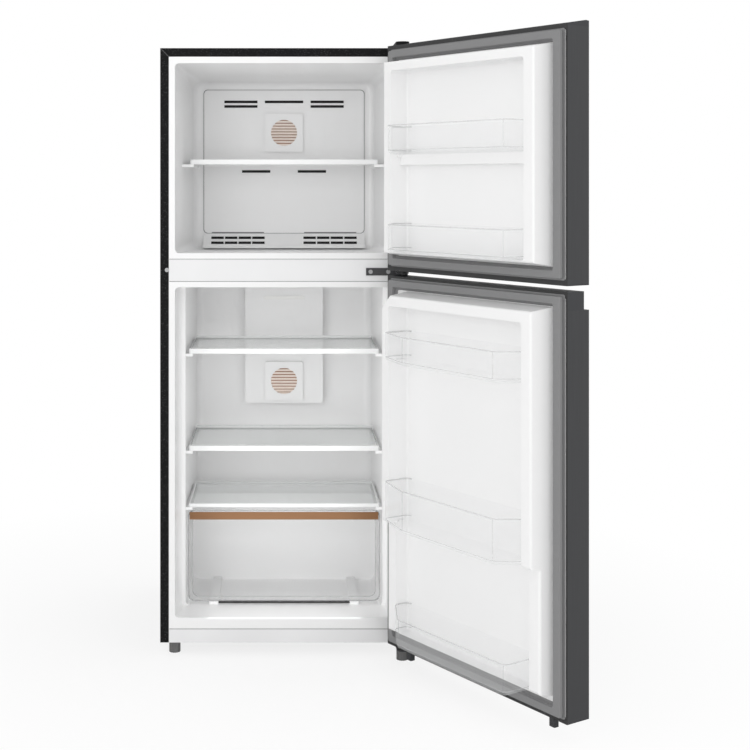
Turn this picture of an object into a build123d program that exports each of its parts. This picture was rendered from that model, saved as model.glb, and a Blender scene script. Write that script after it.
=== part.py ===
from build123d import *
import os

os.makedirs("parts", exist_ok=True)

# Top freezer refrigerator, millimetres, +Z up, modelled with both doors open.
# Sizes across are measured from the middle of the cabinet, depths run back from the
# cabinet's front plane (so a door lies at negative depths), heights are above the floor.

# ---- Cabinet ----------------------------------------------------------------------
CABINET_WIDTH = 547.0
CABINET_DEPTH = 530.0
CABINET_BOTTOM = 27.0
CABINET_TOP = 1340.0
SHEET = 0.8
FLANGE_WIDTH = 19.0
PAN_SHEET = 1.2
RAIL_SHEET = 1.2
RAIL_RETURN = 14.0
LINER = 2.0

# ---- Compartments -----------------------------------------------------------------
WALL_FOAM = 32.5
MOUTH_RADIUS = 9.0
FREEZER_FLOOR = 887.0
CEILING_FOAM = 33.3
FREEZER_REAR_EXTRA = 50.0
FREEZER_SIDE_DRAFT = 16.0
FREEZER_REAR_DROP = 11.0
FREEZER_REAR_FALL = 16.0
ALCOVE_HALF_WIDTH = 196.0
ALCOVE_FLOOR_RISE = 25.0
ALCOVE_CEILING_DROP = 38.7
ALCOVE_DEPTH = 62.0
ALCOVE_MARGIN = 14.0
FRIDGE_FLOOR = 82.0
MULLION_FOAM = 75.3
REAR_FOAM = 80.0
FRIDGE_STEP_DEPTH = 90.0
FRIDGE_STEP_DRAFT = 9.0
FRIDGE_STEP_INSET = 17.0
FRIDGE_SIDE_DRAFT = 21.5
FRIDGE_REAR_DROP = 5.0
REAR_CORNER_RADIUS = 18.0
HUMP_FOAM = 39.0
BAY_FOAM = 43.0
RAIL_MARGIN = 13.0
BOTTOM_RAIL_DROP = 25.0
BAY_LENGTH = 185.0
BAY_TOP = 245.0
DUCT_HALF_WIDTH = 60.0
DUCT_FRONT_GAP = 30.0
DUCT_REAR_GAP = 5.0

# ---- Evaporator cover and its slots -------------------------------------------------
COVER_SIDE_OVERLAP = 4.0
COVER_FLOOR_RISE = 4.0
COVER_OVERLAP = 5.0
COVER_SHEET = 2.5
COVER_RADIUS = 10.0
RAMP_REACH = 27.0
RAMP_SINK = 7.0
SLOT_HEIGHT = 6.8
TOP_SLOT_ROWS = (1243.5, 1232.0)
SIDE_SLOT_NEAR = 66.0
SIDE_SLOT_FAR = 149.0
CENTRE_SLOT_HALF_WIDTH = 48.0
LOW_SLOT_DROP = 26.0
LOW_SLOT_NEAR = 34.0
LOW_SLOT_FAR = 105.0
GRILLE_ROWS = (905.0, 893.0)
GRILLE_SLOT_HEIGHT = 6.4
GRILLE_NEAR = 48.0
GRILLE_FAR = 181.0
GRILLE_SLOTS = 4
GRILLE_BAR = 2.6

# ---- Evaporator, fan, filters --------------------------------------------------------
COIL_SIDE_GAP = 31.0
COIL_RISE = 20.0
COIL_HEIGHT = 170.0
COIL_DEPTH_GAP = 10.0
COIL_THICKNESS = 44.0
FIN_PITCH = 15.0
FIN_SHEET = 0.6
COIL_TUBE_RADIUS = 4.0
COIL_TUBE_PITCH = 34.0
COIL_PLATE = 2.0
HEATER_RADIUS = 5.0
HEATER_DROP = 13.0
FAN_DROP = 76.0
FAN_RADIUS = 46.0
FAN_HUB_RADIUS = 15.0
FAN_WIDTH = 16.0
FAN_BLADES = 5
FAN_BLADE_PITCH = 35.0
FAN_BLADE_SHEET = 2.0
FAN_SHAFT_RADIUS = 3.0
MOTOR_RADIUS = 24.0
MOTOR_LENGTH = 24.0
FAN_AXIAL_GAP = 1.0
FILTER_COVER_SIZE = 95.0
FILTER_COVER_THICKNESS = 9.0
FILTER_COVER_CORNER = 5.0
FILTER_RADIUS = 32.5
FILTER_THICKNESS = 5.0
FILTER_RIB_PITCH = 7.0
FILTER_GROOVE = 2.4
FREEZER_FILTER_DROP = 107.0
FRIDGE_FILTER_RISE = 56.0
DUCT_COVER_HALF_WIDTH = 97.0
DUCT_COVER_BOTTOM = 492.0
DUCT_COVER_DEPTH = 46.0
DUCT_COVER_RADIUS = 12.0
LAMP_HALF_WIDTH = 52.0
LAMP_DROP = 56.7
LAMP_RISE = 9.0

# ---- Shelves and crisper ---------------------------------------------------------------
GLASS = 4.0
TRIM_HEIGHT = 11.0
TRIM_DEPTH = 14.0
TRIM_GROOVE = 8.0
SHELF_SIDE_GAP = 24.0
FREEZER_SHELF_LEVEL = 1096.0
FREEZER_SHELF_FRONT = 148.0
FREEZER_SHELF_REAR_GAP = 36.0
UPPER_SHELF_LEVEL = 663.0
LOWER_SHELF_LEVEL = 441.0
FRIDGE_SHELF_FRONT = 106.0
FRIDGE_SHELF_REAR_GAP = 74.0
CRISPER_COVER_RISE = 23.5
CRISPER_COVER_FRONT = 96.0
CRISPER_COVER_OVERHANG = 24.0
CRISPER_FRAME_HEIGHT = 7.5
LEDGE_OVERLAP = 8.0
LEDGE_HEIGHT = 6.0
SEAT_GAP = 0.3
DRAWER_SIDE_GAP = 22.0
DRAWER_RISE = 6.5
DRAWER_TOP_DROP = 14.5
DRAWER_FRONT = 98.0
DRAWER_REAR_GAP = 10.0
DRAWER_WALL = 2.5
DRAWER_RADIUS = 16.0
STRIP_SIDE_GAP = 4.0
STRIP_HEIGHT = 17.0
STRIP_DROP = 5.0
STRIP_THICKNESS = 2.0
DRAWER_RUNNER_NEAR = 150.0
DRAWER_RUNNER_FAR = 170.0

# ---- Doors ---------------------------------------------------------------------------
DOOR_OPEN_ANGLE = 123.0
DOOR_THICKNESS = 55.0
DOOR_GAP = 12.0
PIN_FROM_SIDE = 15.0
PIN_DEPTH = -40.0
PIN_RADIUS = 4.0
PIN_CLEARANCE = 0.05
PIN_REACH = 20.0
DOOR_SPACING = 11.0
FREEZER_DOOR_CREST = 8.0
FRIDGE_DOOR_BOTTOM = 40.0
DOOR_TOP_DROP = 46.0
CAP_SLAB = 4.0
CAP_PLUG = 22.0
NOTCH_HALF_WIDTH = 17.0
GRIP_HEIGHT = 35.0
GRIP_SETBACK = 13.0
GRIP_POCKET = 26.0
GRIP_SIDE_MARGIN = 48.5
DOOR_LINER = 1.5
GASKET_WIDTH = 24.0
GASKET_SIDE_MARGIN = 2.5
GASKET_HINGE_MARGIN = 11.0
GASKET_FACE_GAP = 0.3
GASKET_ROUND = 4.0
FREEZER_GASKET_RISE = 10.0
FREEZER_GASKET_DROP = 9.0
FRIDGE_GASKET_RISE = 7.5
FRIDGE_GASKET_DROP = 5.0
DYKE_SIDE_GAP = 5.0
DYKE_DRAFT = 8.0
DYKE_WIDTH = 30.0
POCKET_RADIUS = 8.0
POCKET_FOOT_RADIUS = 7.0
RIM_EDGE_RADIUS = 4.0
FREEZER_DYKE_HEIGHT = 46.0
FREEZER_DYKE_MARGIN = 26.5
FREEZER_POCKET_FLOOR = 7.0
FREEZER_POCKET_MARGIN = 22.0
FRIDGE_DYKE_HEIGHT = 52.0
FRIDGE_LOW_DYKE_HEIGHT = 32.0
DYKE_STEP_RISE = 6.5
FRIDGE_DYKE_FOOT = 37.0
FRIDGE_DYKE_MARGIN = 26.5
FRIDGE_POCKET_FLOOR = 2.0
FRIDGE_POCKET_MARGIN = 26.0
CORNER_CHAMFER = 32.0
BIN_CLEARANCE = 0.4
BIN_WALL = 2.2
BIN_RADIUS = 16.0
BIN_REACH = 94.0
BIN_FOOT_RADIUS = 7.5
FREEZER_BIN_CUTS = ((52.0, 52.0), (0.0, 0.0))
FRIDGE_BIN_CUTS = ((96.0, 31.0), (30.0, 46.0))
LOW_BIN_CUTS = ((84.0, 59.0), (0.0, 0.0))
BOSS_REACH = 5.0
BOSS_HEIGHT = 6.0
BOSS_NEAR = 12.0
BOSS_FAR = 30.0
FREEZER_BIN_HEIGHT = 60.0
FREEZER_BIN_RISE = 7.0
FRIDGE_BIN_RISE = 5.0
MIDDLE_BIN_RISE = 8.0
FRIDGE_BIN_HEIGHT = 60.0
DEEP_BIN_HEIGHT = 88.0
LEDGE_DROP = 22.0
FREEZER_LEDGE_REACH = 20.0
TAB_NEAR = 210.5
TAB_WIDTH = 15.0
TAB_HEIGHT = 24.0
TAB_FRONT = -37.0
TAB_REAR = -25.0

# ---- Hinges, feet, rollers --------------------------------------------------------------
HINGE_SHEET = 3.0
HINGE_END_RADIUS = 13.5
HINGE_REAR = 62.0
HINGE_COVER_HEIGHT = 7.0
HINGE_COVER_WALL = 1.5
LEAF_LENGTH = 77.5
LEAF_DROP = 7.0
LEAF_RISE = 9.5
ARM_CLEARANCE = 4.0
COLLAR_RADIUS = 7.5
SCREW_HEAD_RADIUS = 4.6
SCREW_HEAD_HEIGHT = 2.2
SCREW_RADIUS = 2.0
CROSS_SLOT = 1.2
MIDDLE_SCREW_GAPS = (67.5, 28.5)
PLATE_SCREW_DEPTHS = (22.0, 48.0)
FLANGE_SCREW_GAP = 15.0
FLANGE_SCREW_HEIGHT = 850.0
FOOT_RADIUS = 12.5
FOOT_HEIGHT = 22.0
FOOT_FLUTES = 16
FLUTE_RADIUS = 1.2
FOOT_STUD_RADIUS = 4.0
LEFT_FOOT_GAP = 30.5
LEFT_FOOT_DEPTH = 25.0
LEFT_STUD_LENGTH = 18.0
RIGHT_FOOT_DEPTH = -27.0
RIGHT_STUD_LENGTH = 8.0
ROLLER_RADIUS = 15.0
ROLLER_SIDE_GAP = 53.5
ROLLER_WIDTH = 20.0
ROLLER_REAR_GAP = 30.0
AXLE_RADIUS = 4.0
EAR_SHEET = 3.0
EAR_GAP = 1.0
EAR_HALF_LENGTH = 12.0
EAR_MARGIN = 3.0
WHEEL_WELL_GAP = 2.0
RUNNING_CLEARANCE = 0.05

# ---- Compressor bay -----------------------------------------------------------------------
TRAY_SHEET = 2.0
COMPRESSOR_ACROSS = -120.0
COMPRESSOR_REAR_GAP = 92.0
COMPRESSOR_RADIUS = 64.0
COMPRESSOR_HEIGHT = 148.0
COMPRESSOR_FOOT_HALF_WIDTH = 88.0
COMPRESSOR_FOOT_HALF_DEPTH = 52.0
COMPRESSOR_FOOT_SHEET = 3.0
COMPRESSOR_FOOT_RADIUS = 12.0
COMPRESSOR_CROWN = 35.2
TERMINAL_OVERLAP = 8.0
TERMINAL_REACH = 4.0
TERMINAL_HALF_DEPTH = 16.0
TERMINAL_RISE = 40.0
TERMINAL_HEIGHT = 36.0
RELAY_LENGTH = 26.0
RELAY_MARGIN = 6.0
RELAY_RADIUS = 4.0
GROMMET_RADIUS = 11.0
GROMMET_HEIGHT = 15.0
DRIP_TRAY_NEAR = 30.0
DRIP_TRAY_FAR = 190.0
DRIP_TRAY_AHEAD = 60.0
DRIP_TRAY_BEHIND = 40.0
DRIP_TRAY_HEIGHT = 34.0
DRIP_TRAY_WALL = 2.0
DRIP_TRAY_RADIUS = 10.0
TUBE_RADIUS = 3.2
TUBE_BEND_RADIUS = 5.76
TUBE_END_GAP = 0.7
TUBE_STUB = 14.0
TUBE_HALF_SPACING = 9.0
TUBE_RISES = (80.0, 60.0)
TUBE_DROPS = (30.0, 50.0)
COVER_SLOT_PITCH = 14.0
COVER_SLOT_HEIGHT = 5.0
COVER_SLOT_ROUND = 2.4
COVER_SLOT_MARGIN = 40.0
COVER_SLOT_SPANS = ((-200.0, -20.0), (20.0, 150.0))
INLET_ACROSS = 210.0
INLET_RISE = 170.0
INLET_HALF_WIDTH = 25.0
INLET_HALF_HEIGHT = 20.0
INLET_PLATE = 6.0
INLET_COLLAR = 8.0
INLET_COLLAR_RADIUS = 8.0
INLET_BORE_RADIUS = 4.0
INLET_CORNER = 4.0

# ---- Sizes that follow from others -------------------------------------------------------
HALF_WIDTH = CABINET_WIDTH / 2
PIN_ACROSS = HALF_WIDTH - PIN_FROM_SIDE
FRIDGE_DEPTH = CABINET_DEPTH - REAR_FOAM
FREEZER_DEPTH = FRIDGE_DEPTH - FREEZER_REAR_EXTRA
BAY_DEPTH = CABINET_DEPTH - BAY_LENGTH
HUMP_DEPTH = BAY_DEPTH - HUMP_FOAM
HUMP_TOP = BAY_TOP + BAY_FOAM
DUCT_FRONT = FRIDGE_DEPTH - DUCT_FRONT_GAP
DUCT_REAR = FRIDGE_DEPTH - DUCT_REAR_GAP
DUCT_COVER_FRONT = FRIDGE_DEPTH - DUCT_COVER_DEPTH
FREEZER_CEILING = CABINET_TOP - CEILING_FOAM
FRIDGE_CEILING = FREEZER_FLOOR - MULLION_FOAM
FRIDGE_DOOR_TOP = FREEZER_FLOOR - DOOR_TOP_DROP
FREEZER_DOOR_BOTTOM = FRIDGE_DOOR_TOP + DOOR_SPACING
FREEZER_GASKET_BOTTOM = FREEZER_DOOR_BOTTOM + FREEZER_GASKET_RISE
FREEZER_DOOR_TOP = CABINET_TOP
FREEZER_GASKET_TOP = FREEZER_DOOR_TOP - FREEZER_GASKET_DROP
FRIDGE_GASKET_BOTTOM = FRIDGE_DOOR_BOTTOM + FRIDGE_GASKET_RISE
FRIDGE_GASKET_TOP = FRIDGE_DOOR_TOP - FRIDGE_GASKET_DROP
MIDDLE_ARM_HEIGHT = FRIDGE_DOOR_TOP + ARM_CLEARANCE
MIDDLE_LEAF_BOTTOM = MIDDLE_ARM_HEIGHT - LEAF_DROP
MIDDLE_LEAF_TOP = MIDDLE_ARM_HEIGHT + LEAF_RISE
ALCOVE_BOTTOM = FREEZER_FLOOR + ALCOVE_FLOOR_RISE
ALCOVE_TOP = FREEZER_CEILING - ALCOVE_CEILING_DROP
COVER_BOTTOM = ALCOVE_BOTTOM + COVER_FLOOR_RISE
COVER_TOP = ALCOVE_TOP + COVER_OVERLAP
RAMP_FOOT = FREEZER_FLOOR - RAMP_SINK
BOTTOM_RAIL_TOP = FRIDGE_FLOOR - BOTTOM_RAIL_DROP
DRAWER_BOTTOM = FRIDGE_FLOOR + DRAWER_RISE
CRISPER_COVER_LEVEL = HUMP_TOP + CRISPER_COVER_RISE
CRISPER_COVER_REAR = HUMP_DEPTH + CRISPER_COVER_OVERHANG
DRAWER_TOP = CRISPER_COVER_LEVEL - DRAWER_TOP_DROP
DRAWER_REAR = HUMP_DEPTH - DRAWER_REAR_GAP
STRIP_TOP = DRAWER_TOP - STRIP_DROP
STRIP_BOTTOM = STRIP_TOP - STRIP_HEIGHT
FRIDGE_DYKE_STEP = CRISPER_COVER_LEVEL + DYKE_STEP_RISE
FREEZER_SHELF_REAR = FREEZER_DEPTH - FREEZER_SHELF_REAR_GAP
FRIDGE_SHELF_REAR = FRIDGE_DEPTH - FRIDGE_SHELF_REAR_GAP
MOUTH_HALF_WIDTH = HALF_WIDTH - WALL_FOAM
FREEZER_REAR_HALF_WIDTH = MOUTH_HALF_WIDTH - FREEZER_SIDE_DRAFT
FRIDGE_STEP_HALF_WIDTH = MOUTH_HALF_WIDTH - FRIDGE_STEP_DRAFT
FRIDGE_WALL_HALF_WIDTH = MOUTH_HALF_WIDTH - FRIDGE_STEP_INSET
FRIDGE_REAR_HALF_WIDTH = MOUTH_HALF_WIDTH - FRIDGE_SIDE_DRAFT
COVER_HALF_WIDTH = ALCOVE_HALF_WIDTH + COVER_SIDE_OVERLAP
COIL_HALF_WIDTH = ALCOVE_HALF_WIDTH - COIL_SIDE_GAP
SHELF_HALF_WIDTH = MOUTH_HALF_WIDTH - SHELF_SIDE_GAP
LEDGE_INNER_HALF_WIDTH = SHELF_HALF_WIDTH - LEDGE_OVERLAP
DRAWER_HALF_WIDTH = MOUTH_HALF_WIDTH - DRAWER_SIDE_GAP
STRIP_HALF_WIDTH = DRAWER_HALF_WIDTH - STRIP_SIDE_GAP
DYKE_HALF_WIDTH = MOUTH_HALF_WIDTH - DYKE_SIDE_GAP
POCKET_HALF_WIDTH = DYKE_HALF_WIDTH - DYKE_WIDTH
GRIP_HALF_WIDTH = HALF_WIDTH - GRIP_SIDE_MARGIN
MIDDLE_LEAF_INNER = PIN_ACROSS - LEAF_LENGTH
ROLLER_ACROSS = HALF_WIDTH - ROLLER_SIDE_GAP
ROLLER_DEPTH = CABINET_DEPTH - ROLLER_REAR_GAP
COMPRESSOR_DEPTH = CABINET_DEPTH - COMPRESSOR_REAR_GAP
DRIP_TRAY_FRONT = COMPRESSOR_DEPTH - DRIP_TRAY_AHEAD
DRIP_TRAY_REAR = COMPRESSOR_DEPTH + DRIP_TRAY_BEHIND
TAB_FAR = TAB_NEAR + TAB_WIDTH
FREEZER_BIN_UPPER = FREEZER_SHELF_LEVEL + FREEZER_BIN_RISE
FRIDGE_BIN_TOP = UPPER_SHELF_LEVEL + FRIDGE_BIN_RISE
FRIDGE_BIN_MIDDLE = FRIDGE_DYKE_STEP + MIDDLE_BIN_RISE
LAMP_HEIGHT = FRIDGE_CEILING - LAMP_DROP
FREEZER_FILTER_HEIGHT = COVER_TOP - FREEZER_FILTER_DROP
FRIDGE_FILTER_HEIGHT = DUCT_COVER_BOTTOM + FRIDGE_FILTER_RISE
LOW_SLOT_ROW = FREEZER_SHELF_LEVEL - LOW_SLOT_DROP
COIL_BOTTOM = COVER_BOTTOM + COIL_RISE
HEATER_HEIGHT = COIL_BOTTOM - HEATER_DROP
COIL_TOP = COIL_BOTTOM + COIL_HEIGHT
FAN_HEIGHT = ALCOVE_TOP - FAN_DROP
DOOR_FACE = -DOOR_GAP - DOOR_THICKNESS
DOOR_BACK = -DOOR_GAP
OPENING_HALF_WIDTH = HALF_WIDTH - FLANGE_WIDTH
MULLION_BOTTOM = FRIDGE_CEILING + RAIL_MARGIN
MULLION_TOP = FREEZER_FLOOR - RAIL_MARGIN
ALCOVE_BACK = FREEZER_DEPTH + ALCOVE_DEPTH
MIDDLE_SCREWS = [PIN_ACROSS - gap for gap in MIDDLE_SCREW_GAPS]
FLANGE_SCREW_ACROSS = FLANGE_SCREW_GAP - HALF_WIDTH
LEFT_FOOT_ACROSS = LEFT_FOOT_GAP - HALF_WIDTH

CABINET = Plane(origin=(0, -CABINET_DEPTH / 2, 0))
HINGE_PIN = CABINET.from_local_coords(Vector(PIN_ACROSS, PIN_DEPTH, 0))


def turned_about_pin(point, angle):
    """Turn a point about the vertical line of the hinge pins."""
    return HINGE_PIN + (point - HINGE_PIN).rotate(Axis.Z, angle)


# The doors' own plane is the cabinet's, swung open about the pins, so each door is
# drawn in the place that it has when it is shut.
DOOR = Plane(
    origin=turned_about_pin(CABINET.origin, DOOR_OPEN_ANGLE),
    x_dir=Vector(1, 0, 0).rotate(Axis.Z, DOOR_OPEN_ANGLE),
    z_dir=(0, 0, 1),
)


# ---- Shapes used again and again ---------------------------------------------------------
def middle(span):
    """Middle of a (start, end) pair."""
    return (span[0] + span[1]) / 2


def length(span):
    """Length of a (start, end) pair."""
    return span[1] - span[0]


def front_plane(base, depth):
    """Upright plane that faces the front, for outlines of (across, height)."""
    return Plane(base.from_local_coords(Vector(0, depth, 0)), x_dir=base.x_dir, z_dir=-base.y_dir)


def side_plane(base, across):
    """Upright plane that faces the right side, for outlines of (depth, height)."""
    return Plane(base.from_local_coords(Vector(across, 0, 0)), x_dir=base.y_dir, z_dir=base.x_dir)


def block(base, across, depth, height, radius=0, mode=Mode.ADD):
    """Box drawn in plan and raised, with its upright edges rounded by the radius."""
    with BuildSketch(base.offset(height[0])) as outline:
        with Locations((middle(across), middle(depth))):
            if radius:
                RectangleRounded(length(across), length(depth), radius)
            else:
                Rectangle(length(across), length(depth))
    extrude(outline.sketch, amount=length(height), mode=mode)


def panel(base, across, depth, height, radius=0, mode=Mode.ADD):
    """Box drawn in front view and run back, with its corners rounded by the radius."""
    with BuildSketch(front_plane(base, depth[0])) as outline:
        with Locations((middle(across), middle(height))):
            if radius:
                RectangleRounded(length(across), length(height), radius)
            else:
                Rectangle(length(across), length(height))
    extrude(outline.sketch, amount=-length(depth), mode=mode)


def profile(base, across, points, mode=Mode.ADD):
    """Outline of (depth, height) points, run from one side to the other."""
    with BuildSketch(side_plane(base, across[0])) as outline:
        with BuildLine():
            Polyline(*points, close=True)
        make_face()
    extrude(outline.sketch, amount=length(across), mode=mode)


def post(base, centre, height, radius, mode=Mode.ADD):
    """Upright round bar."""
    with BuildSketch(base.offset(height[0])) as outline:
        with Locations(centre):
            Circle(radius)
    extrude(outline.sketch, amount=length(height), mode=mode)


def axle(base, across, centre, radius, mode=Mode.ADD):
    """Round bar that runs across, at a (depth, height) centre."""
    with BuildSketch(side_plane(base, across[0])) as outline:
        with Locations(centre):
            Circle(radius)
    extrude(outline.sketch, amount=length(across), mode=mode)


def spindle(base, depth, centre, radius, mode=Mode.ADD):
    """Round bar that runs back, at an (across, height) centre."""
    with BuildSketch(front_plane(base, depth[0])) as outline:
        with Locations(centre):
            Circle(radius)
    extrude(outline.sketch, amount=-length(depth), mode=mode)


def funnel(base, near, far, rear_radius=0):
    """Tapering box between two (depth, half width, bottom, top) sections, rounded at its rear."""
    faces = []
    for section, corner in ((near, MOUTH_RADIUS), (far, MOUTH_RADIUS + rear_radius)):
        depth, half_width, bottom, top = section
        with BuildSketch(front_plane(base, depth)) as outline:
            with Locations((0, (bottom + top) / 2)):
                RectangleRounded(2 * half_width, top - bottom, corner)
        faces.append(outline.sketch)
    with BuildPart(mode=Mode.PRIVATE) as tapered:
        loft(faces, ruled=True)
        if rear_radius:
            rear_edges = tapered.faces().sort_by(Axis.Y)[-1].edges()
            fillet(rear_edges, rear_radius)
    add(tapered.part)


def save(piece, name):
    """Label a finished piece and write it."""
    piece.part.label = name
    export_step(piece.part, f"parts/{name}.step")


# ---- Compartment forms ------------------------------------------------------------------
def freezer_form(grow):
    """Freezer compartment with the evaporator's alcove, grown outwards by a wall."""
    near = (0, MOUTH_HALF_WIDTH + grow, FREEZER_FLOOR - grow, FREEZER_CEILING + grow)
    rear_bottom = FREEZER_FLOOR - FREEZER_REAR_DROP - grow
    rear_top = FREEZER_CEILING - FREEZER_REAR_FALL + grow
    far = (FREEZER_DEPTH + grow, FREEZER_REAR_HALF_WIDTH + grow, rear_bottom, rear_top)
    funnel(CABINET, near, far, ALCOVE_MARGIN + grow)
    alcove_width = ALCOVE_HALF_WIDTH + grow
    alcove_height = (ALCOVE_BOTTOM - grow, ALCOVE_TOP + grow)
    alcove_depth = (FREEZER_DEPTH - MOUTH_RADIUS, ALCOVE_BACK + grow)
    panel(CABINET, (-alcove_width, alcove_width), alcove_depth, alcove_height)


def fridge_form(grow):
    """Fridge compartment with its side step and rear hump, grown outwards by a wall."""
    floor = FRIDGE_FLOOR - grow
    ceiling = FRIDGE_CEILING + grow
    mouth = (0, MOUTH_HALF_WIDTH + grow, floor, ceiling)
    step = (FRIDGE_STEP_DEPTH + grow, FRIDGE_STEP_HALF_WIDTH + grow, floor, ceiling)
    funnel(CABINET, mouth, step)
    wall = (FRIDGE_STEP_DEPTH, FRIDGE_WALL_HALF_WIDTH + grow, floor, ceiling)
    rear_floor = floor - FRIDGE_REAR_DROP
    rear = (FRIDGE_DEPTH + grow, FRIDGE_REAR_HALF_WIDTH + grow, rear_floor, ceiling)
    funnel(CABINET, wall, rear, REAR_CORNER_RADIUS + grow)
    hump_depth = (HUMP_DEPTH + grow, CABINET_DEPTH)
    hump_height = (0, HUMP_TOP - grow)
    block(CABINET, (-HALF_WIDTH, HALF_WIDTH), hump_depth, hump_height, mode=Mode.SUBTRACT)


def air_passage():
    """Cold air way from the evaporator's alcove down to the fridge duct."""
    across = (-DUCT_HALF_WIDTH, DUCT_HALF_WIDTH)
    passage_height = (FRIDGE_CEILING - LINER, ALCOVE_BOTTOM + LINER)
    block(CABINET, across, (DUCT_FRONT, DUCT_REAR), passage_height, mode=Mode.SUBTRACT)


def both_sides(near, far):
    """The left and right spans between two distances from the middle."""
    return ((-far, -near), (near, far))


def shelf_ledges(level, front, rear):
    """Ledges left standing on both side walls of a hollow, one seat gap under a shelf."""
    top = level - SEAT_GAP
    for side in both_sides(LEDGE_INNER_HALF_WIDTH, HALF_WIDTH):
        block(CABINET, side, (front, rear), (top - LEDGE_HEIGHT, top), mode=Mode.SUBTRACT)


with BuildPart() as freezer_tub:
    freezer_form(LINER)

with BuildPart() as fridge_tub:
    fridge_form(LINER)

with BuildPart() as freezer_hollow:
    freezer_form(0)
    shelf_ledges(FREEZER_SHELF_LEVEL - TRIM_HEIGHT, FREEZER_SHELF_FRONT, FREEZER_SHELF_REAR)

with BuildPart() as fridge_hollow:
    fridge_form(0)
    shelf_ledges(UPPER_SHELF_LEVEL - TRIM_HEIGHT, FRIDGE_SHELF_FRONT, FRIDGE_SHELF_REAR)
    shelf_ledges(LOWER_SHELF_LEVEL - TRIM_HEIGHT, FRIDGE_SHELF_FRONT, FRIDGE_SHELF_REAR)
    shelf_ledges(CRISPER_COVER_LEVEL - CRISPER_FRAME_HEIGHT, CRISPER_COVER_FRONT, CRISPER_COVER_REAR)
    runner_height = (0, DRAWER_BOTTOM - SEAT_GAP)
    for side in both_sides(DRAWER_RUNNER_NEAR, DRAWER_RUNNER_FAR):
        block(CABINET, side, (DRAWER_FRONT, DRAWER_REAR), runner_height, mode=Mode.SUBTRACT)

# ---- Cabinet shell -------------------------------------------------------------------
def left_foot_hole(height, radius):
    """Hole for the left levelling foot's stud."""
    post(CABINET, (LEFT_FOOT_ACROSS, LEFT_FOOT_DEPTH), height, radius, Mode.SUBTRACT)


with BuildPart() as outer_shell:
    shell_height = (CABINET_BOTTOM, CABINET_TOP)
    inside = (-HALF_WIDTH + SHEET, HALF_WIDTH - SHEET)
    panel(CABINET, (-HALF_WIDTH, HALF_WIDTH), (0, CABINET_DEPTH), shell_height)
    panel(CABINET, inside, (SHEET, CABINET_DEPTH), (CABINET_BOTTOM, CABINET_TOP - SHEET), mode=Mode.SUBTRACT)
    front_opening = (-OPENING_HALF_WIDTH, OPENING_HALF_WIDTH)
    opening_height = (CABINET_BOTTOM, CABINET_TOP - FLANGE_WIDTH)
    panel(CABINET, front_opening, (0, SHEET), opening_height, mode=Mode.SUBTRACT)
    spindle(CABINET, (0, SHEET), (FLANGE_SCREW_ACROSS, FLANGE_SCREW_HEIGHT), SCREW_RADIUS, Mode.SUBTRACT)
save(outer_shell, "outer_shell")

with BuildPart() as rear_panel:
    panel_height = (BAY_TOP + PAN_SHEET, CABINET_TOP - SHEET)
    panel(CABINET, inside, (CABINET_DEPTH - SHEET, CABINET_DEPTH), panel_height)
save(rear_panel, "rear_panel")

with BuildPart() as base_pan:
    pan_height = (CABINET_BOTTOM, CABINET_BOTTOM + PAN_SHEET)
    riser_height = (CABINET_BOTTOM, BAY_TOP + PAN_SHEET)
    block(CABINET, inside, (RAIL_RETURN, BAY_DEPTH), pan_height)
    block(CABINET, inside, (BAY_DEPTH, BAY_DEPTH + PAN_SHEET), riser_height)
    block(CABINET, inside, (BAY_DEPTH, CABINET_DEPTH - SHEET), (BAY_TOP, BAY_TOP + PAN_SHEET))
    left_foot_hole(pan_height, FOOT_STUD_RADIUS + RUNNING_CLEARANCE)
save(base_pan, "base_pan")


def front_rail(bottom, top):
    """White folded rail across the front, with a return along both long edges."""
    across = (-OPENING_HALF_WIDTH, OPENING_HALF_WIDTH)
    panel(CABINET, across, (0, RAIL_RETURN), (bottom, top))
    fold = (bottom + RAIL_SHEET, top - RAIL_SHEET)
    panel(CABINET, across, (RAIL_SHEET, RAIL_RETURN), fold, mode=Mode.SUBTRACT)


with BuildPart() as bottom_rail:
    front_rail(CABINET_BOTTOM, BOTTOM_RAIL_TOP)
save(bottom_rail, "bottom_rail")

with BuildPart() as mullion_rail:
    front_rail(MULLION_BOTTOM, MULLION_TOP)
    for screw_across in MIDDLE_SCREWS:
        screw_centre = (screw_across, middle((MIDDLE_LEAF_BOTTOM, MIDDLE_LEAF_TOP)))
        spindle(CABINET, (0, RAIL_SHEET), screw_centre, SCREW_RADIUS, Mode.SUBTRACT)
save(mullion_rail, "mullion_rail")

with BuildPart() as freezer_liner:
    liner_flange = (-OPENING_HALF_WIDTH, OPENING_HALF_WIDTH)
    panel(CABINET, liner_flange, (0, LINER), (MULLION_TOP, CABINET_TOP - FLANGE_WIDTH))
    add(freezer_tub.part)
    add(freezer_hollow.part, mode=Mode.SUBTRACT)
    air_passage()
save(freezer_liner, "freezer_liner")

with BuildPart() as fridge_liner:
    panel(CABINET, liner_flange, (0, LINER), (BOTTOM_RAIL_TOP, MULLION_BOTTOM))
    add(fridge_tub.part)
    add(fridge_hollow.part, mode=Mode.SUBTRACT)
    air_passage()
save(fridge_liner, "fridge_liner")

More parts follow.
